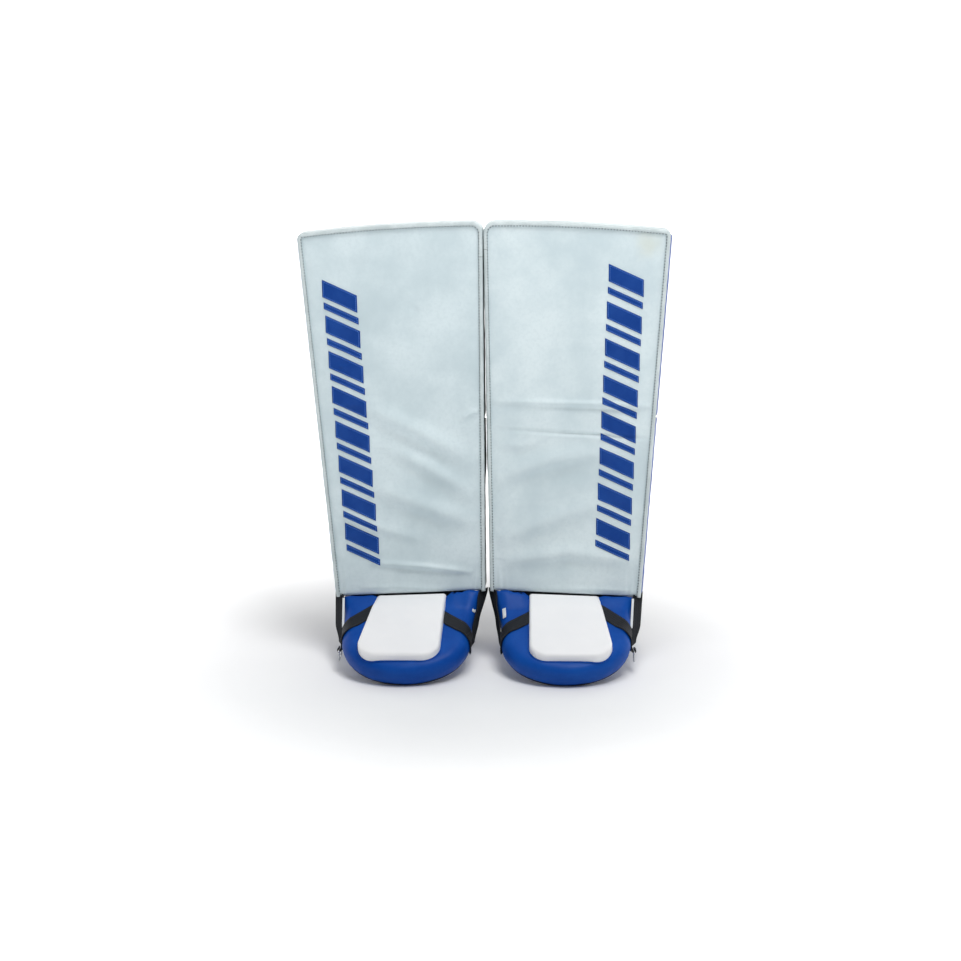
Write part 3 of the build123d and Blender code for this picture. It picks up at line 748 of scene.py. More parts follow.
def face_rows(side_name):
    """The front cover from its rolled hem to the top, as rows of points."""
    low_a, high_a, high_b, low_b = moved_in(outline, face_inset)
    low_a, low_b = vec(low_a.x, inner_bottom[1]), vec(low_b.x, outer_bottom[1])
    columns, levels = 112, 250
    rows = []
    for k in range(9, 0, -1):
        turn = math.radians(k * 17.0)
        level = min(turn, math.pi / 2)
        row = []
        for i in range(columns + 1):
            low = low_a.lerp(low_b, i / columns)
            height = low.y + hem_radius * (1 - math.sin(level)) + 3.0 * (turn - level)
            depth = hem_radius * (1 - math.cos(turn))
            lift = relief(side_name, low.x, low.y + hem_radius) * math.cos(level)
            row.append((low.x, depth - lift, height))
        rows.append(row)
    for j in range(levels + 1):
        row = []
        for i in range(columns + 1):
            low = low_a.lerp(low_b, i / columns) + vec(0.0, hem_radius)
            high = high_a.lerp(high_b, i / columns)
            point = arched(round_top(low.lerp(high, j / levels), high_a, high_b))
            row.append((point.x, -relief(side_name, point.x, point.y), point.y))
        rows.append(row)
    return rows


def round_top(point, high_a, high_b):
    """Bring the square grid's two top corners onto their arcs."""
    for corner, radius, toward in ((high_a, corner_radii[1], -1), (high_b, corner_radii[2], 1)):
        radius = max(3.0, radius - face_inset)
        a = toward * (point.x - corner.x) / radius + 1
        b = (point.y - corner.y) / radius + 1
        if a > 0 and b > 0:
            a, b = min(a, 1.0), min(b, 1.0)
            x = corner.x + toward * radius * (a * math.sqrt(1 - b * b / 2) - 1)
            z = corner.y + radius * (b * math.sqrt(1 - a * a / 2) - 1)
            return vec(x, z)
    return point


# The binding's section: distance in from the pad's edge, and depth behind the front.
binding_section = (
    (6.3, 1.2), (6.1, -0.6), (5.5, -1.1), (4.2, -1.4), (2.6, -1.35), (1.2, -0.9), (0.2, 0.4),
    (-0.5, 2.4), (-0.6, 5.0), (-0.4, 7.6), (0.3, 9.0), (1.2, 9.2), (1.6, 6.0), (2.4, 2.4),
)
binding_joint_z = {"right": 698.0, "left": 708.0}


def binding_shape(side_name):
    """The bound edge: a folded tape up the inner edge, over the top and down the outer."""
    path, inward = outline_path(0.0, step=3.0)
    shape, rows, along = Shape(), [], 0.0
    joint = next(i for i, p in enumerate(path) if p.y > binding_joint_z[side_name])
    for index, (point, normal) in enumerate(zip(path, inward)):
        along += (point - path[index - 1]).length if index else 0.0
        overlap = 0.45 if index >= joint else 0.0
        pucker = 0.16 * math.sin(along * 0.9) + 0.22 * noise.noise(vec(along / 23, 3, 1))
        row = []
        for inset, depth in binding_section:
            out = overlap + pucker if depth < 2.0 else 0.4 * overlap
            spot = point + normal * inset
            row.append((spot.x, depth - out, spot.y))
        rows.append(row)
    shape.closed_rows(rows)
    return shape


def edge_stitches(side_name):
    """The stitch line beside the binding, and the bar where the tape's ends overlap."""
    shape = Shape()
    path, inward = outline_path(6.2, step=3.0)
    stitches(shape, [vec(p.x, -2.2, p.y) for p in path], [front] * len(path), 5.0, 3.0, 0.75)
    joint = next(i for i, p in enumerate(path) if p.y > binding_joint_z[side_name])
    end, edge = path[joint], path[joint] - inward[joint] * 6.9
    stitches(shape, [vec(edge.x, -1.6, edge.y), vec(end.x, -2.0, end.y)], [front], 2.6, 2.4, 0.5)
    return shape


# ------------------------------------------------------------------ slanted bars
bar_cells, bar_half_width = 8, 29.0
bar_pitch = {"left": 62.0, "right": 60.0}
bar_top_z = {"left": 657.0, "right": 634.0}
bar_column_x, bar_column_foot_z = 214.0, 174.0
bar_column_lean = {"left": 0.047, "right": 0.060}
bar_slant = math.tan(math.radians(25.0))
bar_rows = ((0.0, 29.0), (29.0, 11.0))


def bar_places(side_name):
    """Each bar's middle and height, from the top down."""
    for cell in range(bar_cells):
        for drop, height in bar_rows:
            z = bar_top_z[side_name] - cell * bar_pitch[side_name] - drop
            lean = bar_column_lean[side_name]
            yield bar_column_x + (z - bar_column_foot_z) * lean, z, height


def bars_shape(side_name, side):
    """Raised leather bars that follow the face, with their edges turned down to it."""
    shape, lifts = Shape(), (-0.3, 0.75, 1.35, 1.5)
    for x, z, height in bar_places(side_name):
        nx, nz = 22, max(6, round(height / 2))
        rows = []
        shares_x, shares_z = (
            [0.0, 0.0, rim] + [k / n for k in range(1, n)] + [1 - rim, 1.0, 1.0]
            for n, rim in ((nx, 0.018), (nz, 0.55 / height)))
        for j, v in enumerate(shares_z):
            row = []
            for i, u in enumerate(shares_x):
                level = min(j, len(shares_z) - 1 - j, i, len(shares_x) - 1 - i)
                dx = (u - 0.5) * 2 * bar_half_width
                # Both pads' bars fall towards +X, so on the right pad they rise outward.
                px, pz = x + dx, z - side * dx * bar_slant + (v - 0.5) * height
                row.append((px, -relief(side_name, px, pz) - lifts[min(level, 3)], pz))
            rows.append(row)
        shape.rows(rows)
    return shape


def bar_stitches(side_name, side):
    """A line of stitches just inside each bar's edge."""
    shape = Shape()
    for x, z, height in bar_places(side_name):
        half_x, half_z = bar_half_width - 2.2, height / 2 - 2.2
        corners = ((-half_x, -half_z), (half_x, -half_z), (half_x, half_z), (-half_x, half_z))
        ring = []
        for index, a in enumerate(corners):
            b = corners[(index + 1) % 4]
            ring += divided(a, b, max(2, round(math.hypot(b[0] - a[0], b[1] - a[1]) / 4)))
        path = []
        for dx, dz in ring + ring[:1]:
            px, pz = x + dx, z - side * dx * bar_slant + dz
            path.append(vec(px, -relief(side_name, px, pz) - 1.5, pz))
        stitches(shape, path, [front] * len(path), 3.4, 2.4, 0.55)
    return shape


# ------------------------------------------------------------------ the pad's sides and back
OUTER_WALL, INNER_WALL, TOP_WALL, BACK_WALL = range(4)


def slot_reach(y):
    """Half the knee slot's height at depth y."""
    return 0.3 + (y - knee_y) * knee_slot_slope


def slot_z(y, section):
    """Where the knee slot's wall stands at depth y."""
    return knee_z + slot_reach(y) * (1 if section == "thigh" else -1)


def shell_shape(section):
    """Side walls, back and slot wall of one section, each wall with its own material."""
    shape = Shape()
    path, inward = outline_path(0.8, closed=True, step=6.0)
    depths = [4.0, 7.0, 12.0, 20.0, 28.0, 36.0, 43.0, 48.0, 51.0, pad_depth - 0.4]
    round_in = [0.0, 0.0, 0.0, 0.0, 0.0, 0.0, 0.2, 1.4, 3.4, 7.0]
    count = len(path)

    def wall_point(index, depth, rounding):
        point, normal = path[index % count], inward[index % count]
        share = (depth - depths[0]) / (depths[-1] - depths[0])
        swell = 5.0 if point.x > 150 and point.y < 730 else 1.6
        flatness = 0.7
        if point.x < 20 and point.y < 730:
            # The two pads nearly touch above the shins.
            close = smoothstep(point.y, 300.0, 350.0)
            swell += close * (max(1.6, point.x - 0.7) - 1.6)
            flatness -= 0.4 * close
        bulge = swell * math.sin(math.pi * min(1.0, share * 1.05)) ** flatness
        ripple = 0.5 * noise.noise(vec(point.x / 22, point.y / 17, depth / 15))
        spot = point + normal * (rounding - bulge - ripple)
        limit = slot_z(depth, section)
        z = max(spot.y, limit) if section == "thigh" else min(spot.y, limit)
        return (spot.x, depth, z)

    for index in range(count):
        z = path[index].y
        following = path[(index + 1) % count].y
        if section == "thigh" and max(z, following) < knee_z - 12:
            continue
        if section == "shin" and min(z, following) > knee_z + 12:
            continue
        middle = (path[index] + path[(index + 1) % count]) / 2
        if middle.y > 733.0:
            wall = TOP_WALL
        elif middle.x > 150 and middle.y > 116.0:
            wall = OUTER_WALL
        elif middle.y > 119.0:
            wall = INNER_WALL
        else:
            wall = BACK_WALL
        rows = [[wall_point(index, d, r), wall_point(index + 1, d, r)]
                for d, r in zip(depths, round_in)]
        shape.rows(rows, wall)
    # The back panel fills the outline with rings that shrink towards its middle.
    limit = slot_z(depths[-1], section)
    rim = [wall_point(index, depths[-1], round_in[-1]) for index in range(count)]
    middle_x = (inner_top[0] + outer_top[0]) / 2
    above = 1 if section == "thigh" else -1
    middle_z = (limit + (outer_top if above > 0 else outer_bottom)[1]) / 2
    kept = [p for p in rim if (p[2] - limit) * above > 0.01]
    along = sorted(kept, key=lambda p: math.atan2(p[2] - middle_z, p[0] - middle_x))
    rings = []
    for share in (1.0, 0.985, 0.96, 0.92, 0.8, 0.6, 0.4, 0.2, 0.02):
        ring = []
        for x, y, z in along:
            px, pz = middle_x + (x - middle_x) * share, middle_z + (z - middle_z) * share
            quilt = 0.5 + 0.5 * noise.noise(vec(px / 40, pz / 30, 9.0))
            ring.append((px, pad_depth - 0.4 + min(0.8, (1 - share) * 20) * quilt, pz))
        rings.append(ring)
    shape.crowned_rings(rings, BACK_WALL)
    # The slot's wall, which faces the other section.
    rows = []
    for depth in depths:
        z = slot_z(depth, section)
        left, right = edges_at(z)
        left, right = left + 1.0, right - 1.0
        rows.append([(left + (right - left) * i / 20, depth, z) for i in range(21)])
    shape.rows(rows, BACK_WALL)
    return shape


def knee_gusset_shape():
    """The folded strip that closes the knee slot, a little way inside the pad's walls."""
    left, right = edges_at(knee_z)
    left, right, back = left + 0.5, right - 0.5, pad_depth - 4.0
    plan = [(right + 3.0 * math.sin(math.pi * i / 10), 3.0 + (back - 3.0) * i / 10, (-1, 0))
            for i in range(10)]
    plan += [(right + (left - right) * i / 30, back, (0, -1)) for i in range(31)]
    plan += [(left, back + (3.0 - back) * i / 10, (1, 0)) for i in range(1, 11)]
    shape, rows = Shape(), []
    for level in range(-4, 5):
        reach = abs(level) / 4
        row = []
        for x, y, (away_x, away_y) in plan:
            half = slot_reach(y)
            fold = 0.55 * half * (1 - reach)
            row.append((x + away_x * fold, y + away_y * fold,
                        knee_z + level / 4 * (half + 2.5)))
        rows.append(row)
    shape.rows(rows)
    return shape


for side_name, side in SIDES:
    shin, thigh = f"{side_name}_shin", f"{side_name}_thigh"
    face_shape = Shape()
    face_shape.rows(face_rows(side_name))
    for name, shape, material, slot, node, fill in (
            ("front_cover", face_shape, front_white[side_name], "white_leather", "face", 0.7),
            ("edge_binding", binding_shape(side_name), bound_white, "white_binding", "binding",
             None),
            ("edge_stitches", edge_stitches(side_name), grey_thread, "white_binding", None, None),
            ("bars", bars_shape(side_name, side), bar_blue, "blue_applique", "bars", None),
            ("bar_stitches", bar_stitches(side_name, side), blue_thread, "blue_applique", None,
             None),
            ("knee_gusset", knee_gusset_shape(), nylon, "black_nylon", None, None)):
        piece = make_piece(f"{side_name}_{name}", shape, side, material)
        fit(piece, shin, slot, [f"{shin}_{node}", f"{thigh}_{node}"] if node else (), fill,
            (thigh, knee_start, knee_end))
    for body in (shin, thigh):
        # The inner walls take the dark inner-side leather, which is painted shade for the gap between the pads.
        shell = make_piece(f"{body}_shell", shell_shape(body[len(side_name) + 1:]), side,
                           side_blue, inner_side, bound_white, nylon)
        fit(shell, body, "blue_leather", [f"{body}_back_cover", f"{body}_core"])

# ------------------------------------------------------------------ the boot
boot_x, boot_hinge_z = 136.0, 107.0
boot_sin, boot_cos = math.sin(math.radians(23.5)), math.cos(math.radians(23.5))
boot_half, nose_half, nose_length, nose_centre = 115.0, 109.0, 90.0, 92.0
boot_thick, boot_roll, boot_rear_y = 44.0, 19.0, 50.0
rear_rise = math.tan(math.radians(34.5))


def sloped_point(a, t, h):
    """A point given across the boot, along its slope towards the toe, and out of its top."""
    return vec(boot_x + a, -t * boot_cos - h * boot_sin,
               boot_hinge_z - t * boot_sin + h * boot_cos)


def boot_point(a, t, h):
    """The same, but behind the boot break the point goes down the boot's rear."""
    if t < 0:
        h = min(h, t * rear_rise)
        t = max(t, (-boot_rear_y - h * boot_sin) / boot_cos)
    return sloped_point(a, t, h)


def boot_width(t, side=1):
    """Half the boot's width at t. Its inner side (-1) flares towards the pad's foot."""
    if t <= nose_centre:
        flare = 8.5 * smoothstep(60.0 - t, 0.0, 70.0) if side < 0 else 0.0
        flare *= smoothstep(t, -30.0, -4.0)
        return boot_half - (boot_half - nose_half) * t / nose_centre + flare
    return nose_half * math.sqrt(max(0.0, 1 - ((t - nose_centre) / nose_length) ** 2))


def boot_outline():
    """The boot's plan from its inner rear end round the toe, with inward directions."""
    points = []
    for k in range(34):
        t = -60.0 + (nose_centre + 60.0) * k / 33
        points.append(vec(-boot_width(t, -1), t))
    for k in range(1, 64):
        turn = math.pi * k / 64
        points.append(vec(-nose_half * math.cos(turn), nose_centre + nose_length * math.sin(turn)))
    points.extend(vec(boot_width(p.y), p.y) for p in reversed(points[:34]))
    aheads = [run_at(points, index) for index in range(len(points))]
    return points, [vec(ahead.y, -ahead.x).normalized() for ahead in aheads]


def roll_height(inset):
    """How far the boot's rolled edge lies below its flat top, inset from its outline."""
    reach = max(0.0, boot_roll - inset)
    return -boot_roll + math.sqrt(max(0.0, boot_roll ** 2 - reach ** 2))


def boot_top(a, t):
    """Height of the boot's top surface over its plan."""
    edge = boot_width(min(t, nose_centre), -1 if a < 0 else 1) - abs(a)
    if t > nose_centre:
        rate = math.hypot(a / nose_half, (t - nose_centre) / nose_length)
        if rate > 0.01:
            edge = math.hypot(a, t - nose_centre) * (1 / rate - 1)
    return roll_height(max(0.0, edge))


def hem_height(a):
    """Height of the face's rolled hem over a place across the boot."""
    return inner_bottom[1] + (outer_bottom[1] - inner_bottom[1]) * (boot_x + a) / outer_bottom[0]


def tuck(a, t, h):
    """How much the boot's top and its rolled edge rise, to close up under the hem."""
    if h < -boot_roll - 0.5:
        return 0.0
    beside = smoothstep(max(-58.0 - a, a - 48.0), 0.0, 16.0)
    near = (1 - smoothstep(t, 0.0, 32.0)) * smoothstep(t, -7.0, 1.0)
    corner = 3.5 * smoothstep(-a, 80.0, 110.0)
    return near * (beside * (hem_height(a) - boot_hinge_z + 1.0 + corner) - 0.75 * h)


def boot_shape():
    """The padded cover: rings down the top, round the roll and in across the sole side."""
    shape = Shape()
    points, inward = boot_outline()
    top = [60.0, 50.0, 40.0, 33.0, 27.0, 22.0, 18.0, 14.5, 11.0, 8.0, 5.5, 3.5, 1.8, 0.6, 0.0]
    rings = []

    def ring(inset, h, lift):
        row = []
        for p, n in zip(points, inward):
            a, t = p + n * inset
            # Stuffing swells the leather, and the stitching at the rear holds it down.
            swell = lift * (1.1 * noise.noise(vec(a / 34, t / 30, h / 20 + 3))
                            + 0.35 * noise.noise(vec(a / 11, t / 12, h / 9 + 8)))
            span = max(0.0, 1 - inset / 19)
            spot = boot_point(a - n.x * swell * span, t - n.y * swell * span,
                              h + swell * (1 - span) * (1 if h > -22 else -1))
            spot.z += tuck(a, t, h)
            row.append(tuple(spot))
        rings.append(row)

    def spine(h):
        rings.append([tuple(boot_point(0.0, min(70.0, max(-60.0, p.y * 0.8 - 12.0)), h))
                      for p in points])

    spine(0.0)
    for inset in top:
        ring(inset, roll_height(inset), 1.0)
    ring(-0.5, -boot_roll - 3.0, 1.0)
    for inset in reversed(top[3:]):
        ring(inset, -boot_thick - roll_height(inset), 0.7)
    spine(-boot_thick)
    start, width = shape.rows(rings), len(points)
    for edge in (0, width - 1):
        shape.cap([start + k * width + edge for k in range(len(rings))])
    return shape


def boot_edge_path(inset, h, first=0, last=None, proud=0.0):
    """Points and outward directions along the boot's outline at one level of its roll."""
    points, inward = boot_outline()
    path, outs = [], []
    for p, n in list(zip(points, inward))[first:last]:
        a, t = p + n * inset
        here = boot_point(a, t, h)
        rim = boot_point(*(p + n * boot_roll), h=-boot_roll if h > -22 else boot_roll - boot_thick)
        out = (here - rim).normalized()
        path.append(here + out * proud)
        outs.append(out)
    return path, outs


panel_corners = ((-64.0, -6.0), (-60.5, 160.0), (83.5, 160.0), (55.0, -6.0))
panel_height, panel_corner = 15.0, 32.0


def panel_outline(inset):
    """The toe panel's plan, closed, from its rear inner corner along the inner side."""
    corners = moved_in([Vector(c) for c in panel_corners], inset)
    points = []
    for index, count in enumerate((0, 24, 16, 24)):
        radius = max(3.0, (panel_corner if index in (1, 2) else 5.0) - inset)
        arc = corner_arc(corners[index - 1], corners[index], corners[(index + 1) % 4],
                         radius, 12)
        if index:
            extend_straight(points, arc[0], count=count)
        points.extend(arc)
    extend_straight(points, points[0], count=14)
    points.pop()
    return points


def panel_rise(a, t):
    """Height of the toe panel's top: it starts low, tucked under the foot of the face."""
    low = (hem_height(a) - boot_hinge_z) / boot_cos
    if t < 0:
        return low + 0.9 * t
    return low + (panel_height - low) * smoothstep(t, -4.0, 40.0)


def panel_shape():
    """The raised white panel: its foot and wall, then its rounded edge and crowned top."""
    shape, rings = Shape(), []
    for inset, share in ((-2.2, -0.4), (-0.6, -0.05), (0.0, 0.12), (0.15, 0.4), (0.3, 0.62)):
        ring = []
        for a, t in panel_outline(inset):
            base = boot_top(a, max(t, 0.0))
            level = base - 1.2
            if share >= 0:
                level = base + (panel_rise(a, t) - base) * share
            pucker = 0.5 * noise.noise(vec(a / 9, t / 9, 4.0)) if t >= 0 else 0.0
            ring.append(tuple(sloped_point(a + pucker, t, level)))
        rings.append(ring)
    for inset, drop in ((0.9, 3.4), (1.8, 1.9), (3.0, 0.8), (4.6, 0.2), (8.0, 0.0), (13.0, 0.0),
                        (20.0, 0.0), (28.0, 0.0), (36.0, 0.0), (44.0, 0.0), (50.0, 0.0)):
        ring = []
        for a, t in panel_outline(inset):
            swell = 0.7 * noise.noise(vec(a / 30, t / 34, 2.0)) * smoothstep(inset, 2, 14)
            rise = panel_rise(a, t)
            h = rise - min(drop, 0.8 * rise) + swell + smoothstep(inset, 3, 30)
            ring.append(tuple(sloped_point(a, t, h)))
        rings.append(ring)
    shape.crowned_rings(rings)
    return shape


def side_point(side, p, t, proud=0.0):
    """A point on the boot's skin: p runs out from the flat top, over the roll and down."""
    half, quarter = boot_width(t, side), boot_roll * math.pi / 2
    flat = half - boot_roll
    if p <= 0:
        a, h, out_a, out_h = flat + p, 0.0, 0.0, 1.0
    elif p < quarter:
        turn = p / boot_roll
        a, h = flat + boot_roll * math.sin(turn), boot_roll * (math.cos(turn) - 1)
        out_a, out_h = math.sin(turn), math.cos(turn)
    elif p < quarter + boot_thick - 2 * boot_roll:
        a, h, out_a, out_h = half, -boot_roll - (p - quarter), 1.0, 0.0
    else:
        turn = min(1.2, (p - quarter - boot_thick + 2 * boot_roll) / boot_roll)
        a = flat + boot_roll * math.cos(turn)
        h = -boot_thick + boot_roll - boot_roll * math.sin(turn)
        out_a, out_h = math.cos(turn), -math.sin(turn)
    return boot_point(side * (a + out_a * proud), t, h + out_h * proud)


def skin_stations(side, track, proud):
    """Stations along a track of (p, t) places on the boot's skin."""
    path = [side_point(side, p, t, proud) for p, t in track]
    outs = [(side_point(side, p, t, proud + 1.0) - here).normalized()
            for (p, t), here in zip(track, path)]
    return stations_along(path, outs)


def dense(track, step=2.5):
    """More places along a track, evenly spaced between its corners."""
    made = []
    for a, b in zip(track, track[1:]):
        made += divided(a, b, max(1, round(math.hypot(b[0] - a[0], b[1] - a[1]) / step)))
    return made + [track[-1]]


def arm_track(side):
    """Where one arm of the cross strap runs, from under the toe panel to its end."""
    bend, start, lean = (76.0, 44.0, 0.9) if side > 0 else (60.0, 50.0, 0.72)
    flat = boot_half - boot_roll - 3.0
    t = 49.0 + (flat - bend) * lean
    quarter = boot_roll * math.pi / 2
    return dense([
        (start - flat, t - lean * (flat - start)), (0.0, t), (quarter / 2, t + 10.0),
        (quarter, t + 19.0), (quarter + 15.5, t + 26.5),
    ])


def strap_shape():
    """Both arms of the cross strap, and the sewn loop round the ring."""
    shape = Shape()
    for side in (1, -1):
        ribbon(shape, skin_stations(side, arm_track(side), 1.1), 25.0, 2.0)
    ring_bar, loop = vec(251.2, -72.0, 38.0), []
    for k in range(15):
        turn = math.radians(100.0 - k * 22.0)
        spoke = vec(math.cos(turn), 0.0, math.sin(turn))
        loop.append((ring_bar + spoke * 2.9, rearward, spoke))
    ribbon(shape, loop, 14.0, 1.5)
    return shape


def strap_stitches():
    """Stitch lines down the arms and a box where each is sewn to the boot."""
    shape = Shape()
    for side in (1, -1):
        stations = skin_stations(side, arm_track(side), 2.1)
        for off in (-10.0, 10.0):
            stitches(shape, [c + a * off for c, a, o in stations], [o for c, a, o in stations],
                     3.6, 2.6, 0.5)
        for centre, across, out in (stations[-14], stations[-7]):
            ends = [centre - across * 10.5, centre + across * 10.5]
            stitches(shape, ends, [out], 3.2, 2.4, 0.5)
    return shape


def web_edges(side):
    """The front and the rear edge of one side web, from the pad's foot to the strap."""
    rows = []
    for k in range(41):
        share = k / 40
        z = (112.0 if side > 0 else 119.0) - (67.0 if side > 0 else 74.0) * share
        front_y = 1.0 - 79.0 * share
        # The boot's own width at this height, so that the web hugs it.
        t = max(0.0, (boot_hinge_z - z) * boot_sin - front_y * boot_cos)
        fore = rear = boot_width(min(t, nose_centre), side)
        if side > 0:
            fore -= 0.6
            rear += 16.4 - 2.0 * share - 6.0 * smoothstep(share, 0.65, 1.0)
        else:
            fore += 0.6 - 5.0 * (1 - smoothstep(share, 0.05, 0.35))
            rear += 11.0 - 3.6 * share - 3.0 * smoothstep(share, 0.65, 1.0)
        rows.append((vec(boot_x + side * fore, front_y, z),
                     vec(boot_x + side * rear, front_y + 25.0, z)))
    return rows


def web_shape():
    """Ribbed webs from the foot of the pad down the boot's sides."""
    shape, cords = Shape(), 26
    for side in (1, -1):
        rows, places, along = [], [], 0.0
        edges = web_edges(side)
        fore_edge = [fore for fore, _ in edges]
        for index, (fore, rear) in enumerate(edges):
            across = (rear - fore).normalized()
            run = (rear - fore).length
            out = across.cross(run_at(fore_edge, index)).normalized()
            if out.x * side < 0:
                out = -out
            along += (fore - fore_edge[index - 1]).length if index else 0.0
            section = [(k, 1.9 + 0.45 * math.sin(k * math.pi * 2 / 3.25))
                       for k in range(cords + 1)] + [(k, 0.3) for k in (cords, 13, 0)]
            rows.append([tuple(fore + across * (run * k / cords) + out * proud)
                         for k, proud in section])
            places.extend((along, run * k / cords) for k, _ in section)
        start = len(shape.points)
        shape.closed_rows(rows)
        shape.strip.update({start + index: pair for index, pair in enumerate(places)})
    return shape


def gusset_shape():
    """Black folds between the foot of the pad and the boot's rear."""
    shape, rows = Shape(), []
    corners = [(32.0, 12.0), (240.0, 12.0), (240.0, 46.0), (32.0, 46.0)]
    ring = []
    for index, count in enumerate((40, 10, 40, 10)):
        ring += divided(corners[index], corners[(index + 1) % 4], count)
    for level in range(11):
        share, fold = level / 10, 1.2 * math.cos(level * math.pi * 2 / 5)
        row = []
        for x, y in ring:
            low = boot_hinge_z - y * math.tan(math.radians(11.0)) - 1.5
            high = 118.5 - 8.0 * (x / outer_bottom[0])
            px = x + fold * (1 if x > 239 else -1 if x < 33 else 0)
            py = y + fold * (1 if y > 45 else -1 if y < 13 else 0)
            row.append((px, py, high + (low - high) * share))
        rows.append(row)
    shape.closed_rows(rows)
    return shape


eyelet_x, eyelet_t, bridge_thick = 22.0, 131.0, 3.0


def bridge_shape():
    """The toe bridge under the nose, with two eyelet holes."""
    shape = Shape()
    for side in (-1, 1):
        rows = []
        for radius_share, level in ((0.0, 0.4), (0.03, 0.0), (0.5, 0.0), (0.97, 0.0), (1.0, 0.5),
                                    (1.0, 2.5), (0.97, bridge_thick), (0.5, bridge_thick),
                                    (0.03, bridge_thick), (0.0, 2.6)):
            row = []
            for k in range(48):
                turn = 2 * math.pi * k / 48
                c, s = math.cos(turn), math.sin(turn)
                near = vec(eyelet_x + 3.2 * c, 3.2 * s)
                reach_x = 15.0 if c > 0 else 22.0
                reach = 1 / max(abs(c) / reach_x, abs(s) / 15.0)
                far = vec(eyelet_x + reach * c, reach * s)
                if c > 0:
                    past = vec(max(0.0, far.x - 29.5), max(0.0, abs(far.y) - 7.5))
                    over = max(0.0, past.length - 7.5)
                    far -= vec(c, s) * over
                spot = near.lerp(far, radius_share)
                row.append(tuple(boot_point(side * spot.x, eyelet_t + spot.y,
                                            -boot_thick - level)))
            rows.append(row)
        rows.append(rows[0])
        shape.rows(rows, loop=True)
    return shape


def eyelets_shape():
    """Two metal rings on the toe bridge."""
    shape = Shape()
    for side in (-1, 1):
        rows = []
        for k in range(13):
            turn = 2 * math.pi * k / 12
            row = []
            for j in range(28):
                angle = 2 * math.pi * j / 28
                radius = 4.0 + 0.9 * math.cos(turn)
                row.append(tuple(boot_point(
                    side * eyelet_x + radius * math.cos(angle),
                    eyelet_t + radius * math.sin(angle),
                    -boot_thick - bridge_thick - 0.6 * math.sin(turn))))
            rows.append(row)
        shape.rows(rows, loop=True)
    return shape


def panel_piping():
    """Blue piping round the foot of the toe panel."""
    shape = Shape()
    path = [boot_point(a, t, boot_top(a, t) + 0.35) for a, t in panel_outline(-1.4) if t > 0]
    up = (boot_point(0, 10, 1) - boot_point(0, 10, 0)).normalized()
    ribbon(shape, stations_along(path, [up] * len(path)), 2.6, 1.8)
    return shape


def trim_shape():
    """White piping along the outer web's front edge."""
    shape = Shape()
    across, out = vec(1.0, 0.3, 0.0).normalized(), vec(0.3, -1.0, 0.0).normalized()
    ribbon(shape, [(fore + vec(0.6, -2.5, 0.0), across, out) for fore, _ in web_edges(1)[2:26]],
           4.2, 1.6)
    return shape


tag_place = {"left": (8.5, 26.0), "right": (12.5, 8.0)}


def tag_shape(side_name):
    """A blank white tag beside the inner web."""
    shape, (p, t) = Shape(), tag_place[side_name]
    ribbon(shape, skin_stations(-1, dense([(p, t), (p + 3.5, t + 22.0)], 3.0), 1.2), 7.0, 1.0)
    return shape


def sole_binding_shape():
    """Black tape round the sole side, just under the roll of the boot."""
    shape, inset = Shape(), 8.5
    path, outs = boot_edge_path(inset, -boot_thick - roll_height(inset), 6, -6, 0.5)
    ribbon(shape, stations_along(path, outs), 7.0, 1.4)
    return shape


web_bend = ((0.0, 0.0, 0.108), (0.0, -0.03, 0.080))
ankle_bend = ((0.0, 0.0, 0.113), (0.0, 0.0, 0.100))

for side_name, side in SIDES:
    for name, shape, material, slot, nodes, fill, bend in (
            ("boot_pad", boot_shape(), boot_blue, "blue_leather", ("boot_cover", "boot_core"),
             0.85, None),
            ("toe_cap", panel_shape(), panel_white, "white_leather", ("toe_panel",), 0.9, None),
            ("panel_seam", panel_piping(), boot_blue, "blue_leather", (), None, None),
            ("boot_strap", strap_shape(), webbing_black, "black_webbing", ("cross_strap",), None,
             None),
            ("boot_strap_stitches", strap_stitches(), black_thread, "black_webbing", (), None,
             None),
            ("ribbed_webs", web_shape(), ribbed_black, "black_nylon", ("side_webs",), None,
             web_bend),
            ("ankle_gusset", gusset_shape(), nylon, "black_nylon", (), None, ankle_bend),
            ("trim", trim_shape(), white_tag, "white_binding", (), None, web_bend),
            ("tag", tag_shape(side_name), white_tag, "white_binding", (), None, None),
            ("sole_binding", sole_binding_shape(), binding_black, "black_leather", (), None,
             None),
            ("toe_tie_bridge", bridge_shape(), black_leather, "black_leather", ("toe_bridge",),
             None, None),
            ("toe_eyelets", eyelets_shape(), steel, "steel", (), None, None)):
        piece = make_piece(f"{side_name}_{name}", shape, side, material)
        boot = f"{side_name}_boot"
        fit(piece, f"{side_name}_shin" if bend else boot, slot,
            [f"{side_name}_{node}" for node in nodes], fill, (boot, *bend) if bend else None)
    ring_materials = bpy.data.objects[f"{side_name}_side_ring"].data.materials
    for index in range(len(ring_materials)):
        ring_materials[index] = steel

# ------------------------------------------------------------------ the leg channel and straps
def prism(shape, plan, axis, low, high, inset):
    """A straight block over an anticlockwise plan: axis 0 is for YZ, 1 for XZ, 2 for XY."""
    plan = moved_in([Vector(p) for p in plan], -inset)
    order = {0: lambda u, v, w: (w, u, v), 1: lambda u, v, w: (u, w, v),
             2: lambda u, v, w: (u, v, w)}[axis]
    shape.closed_rows([[order(u, v, level) for u, v in plan]
                       for level in (low + inset, high - inset)])


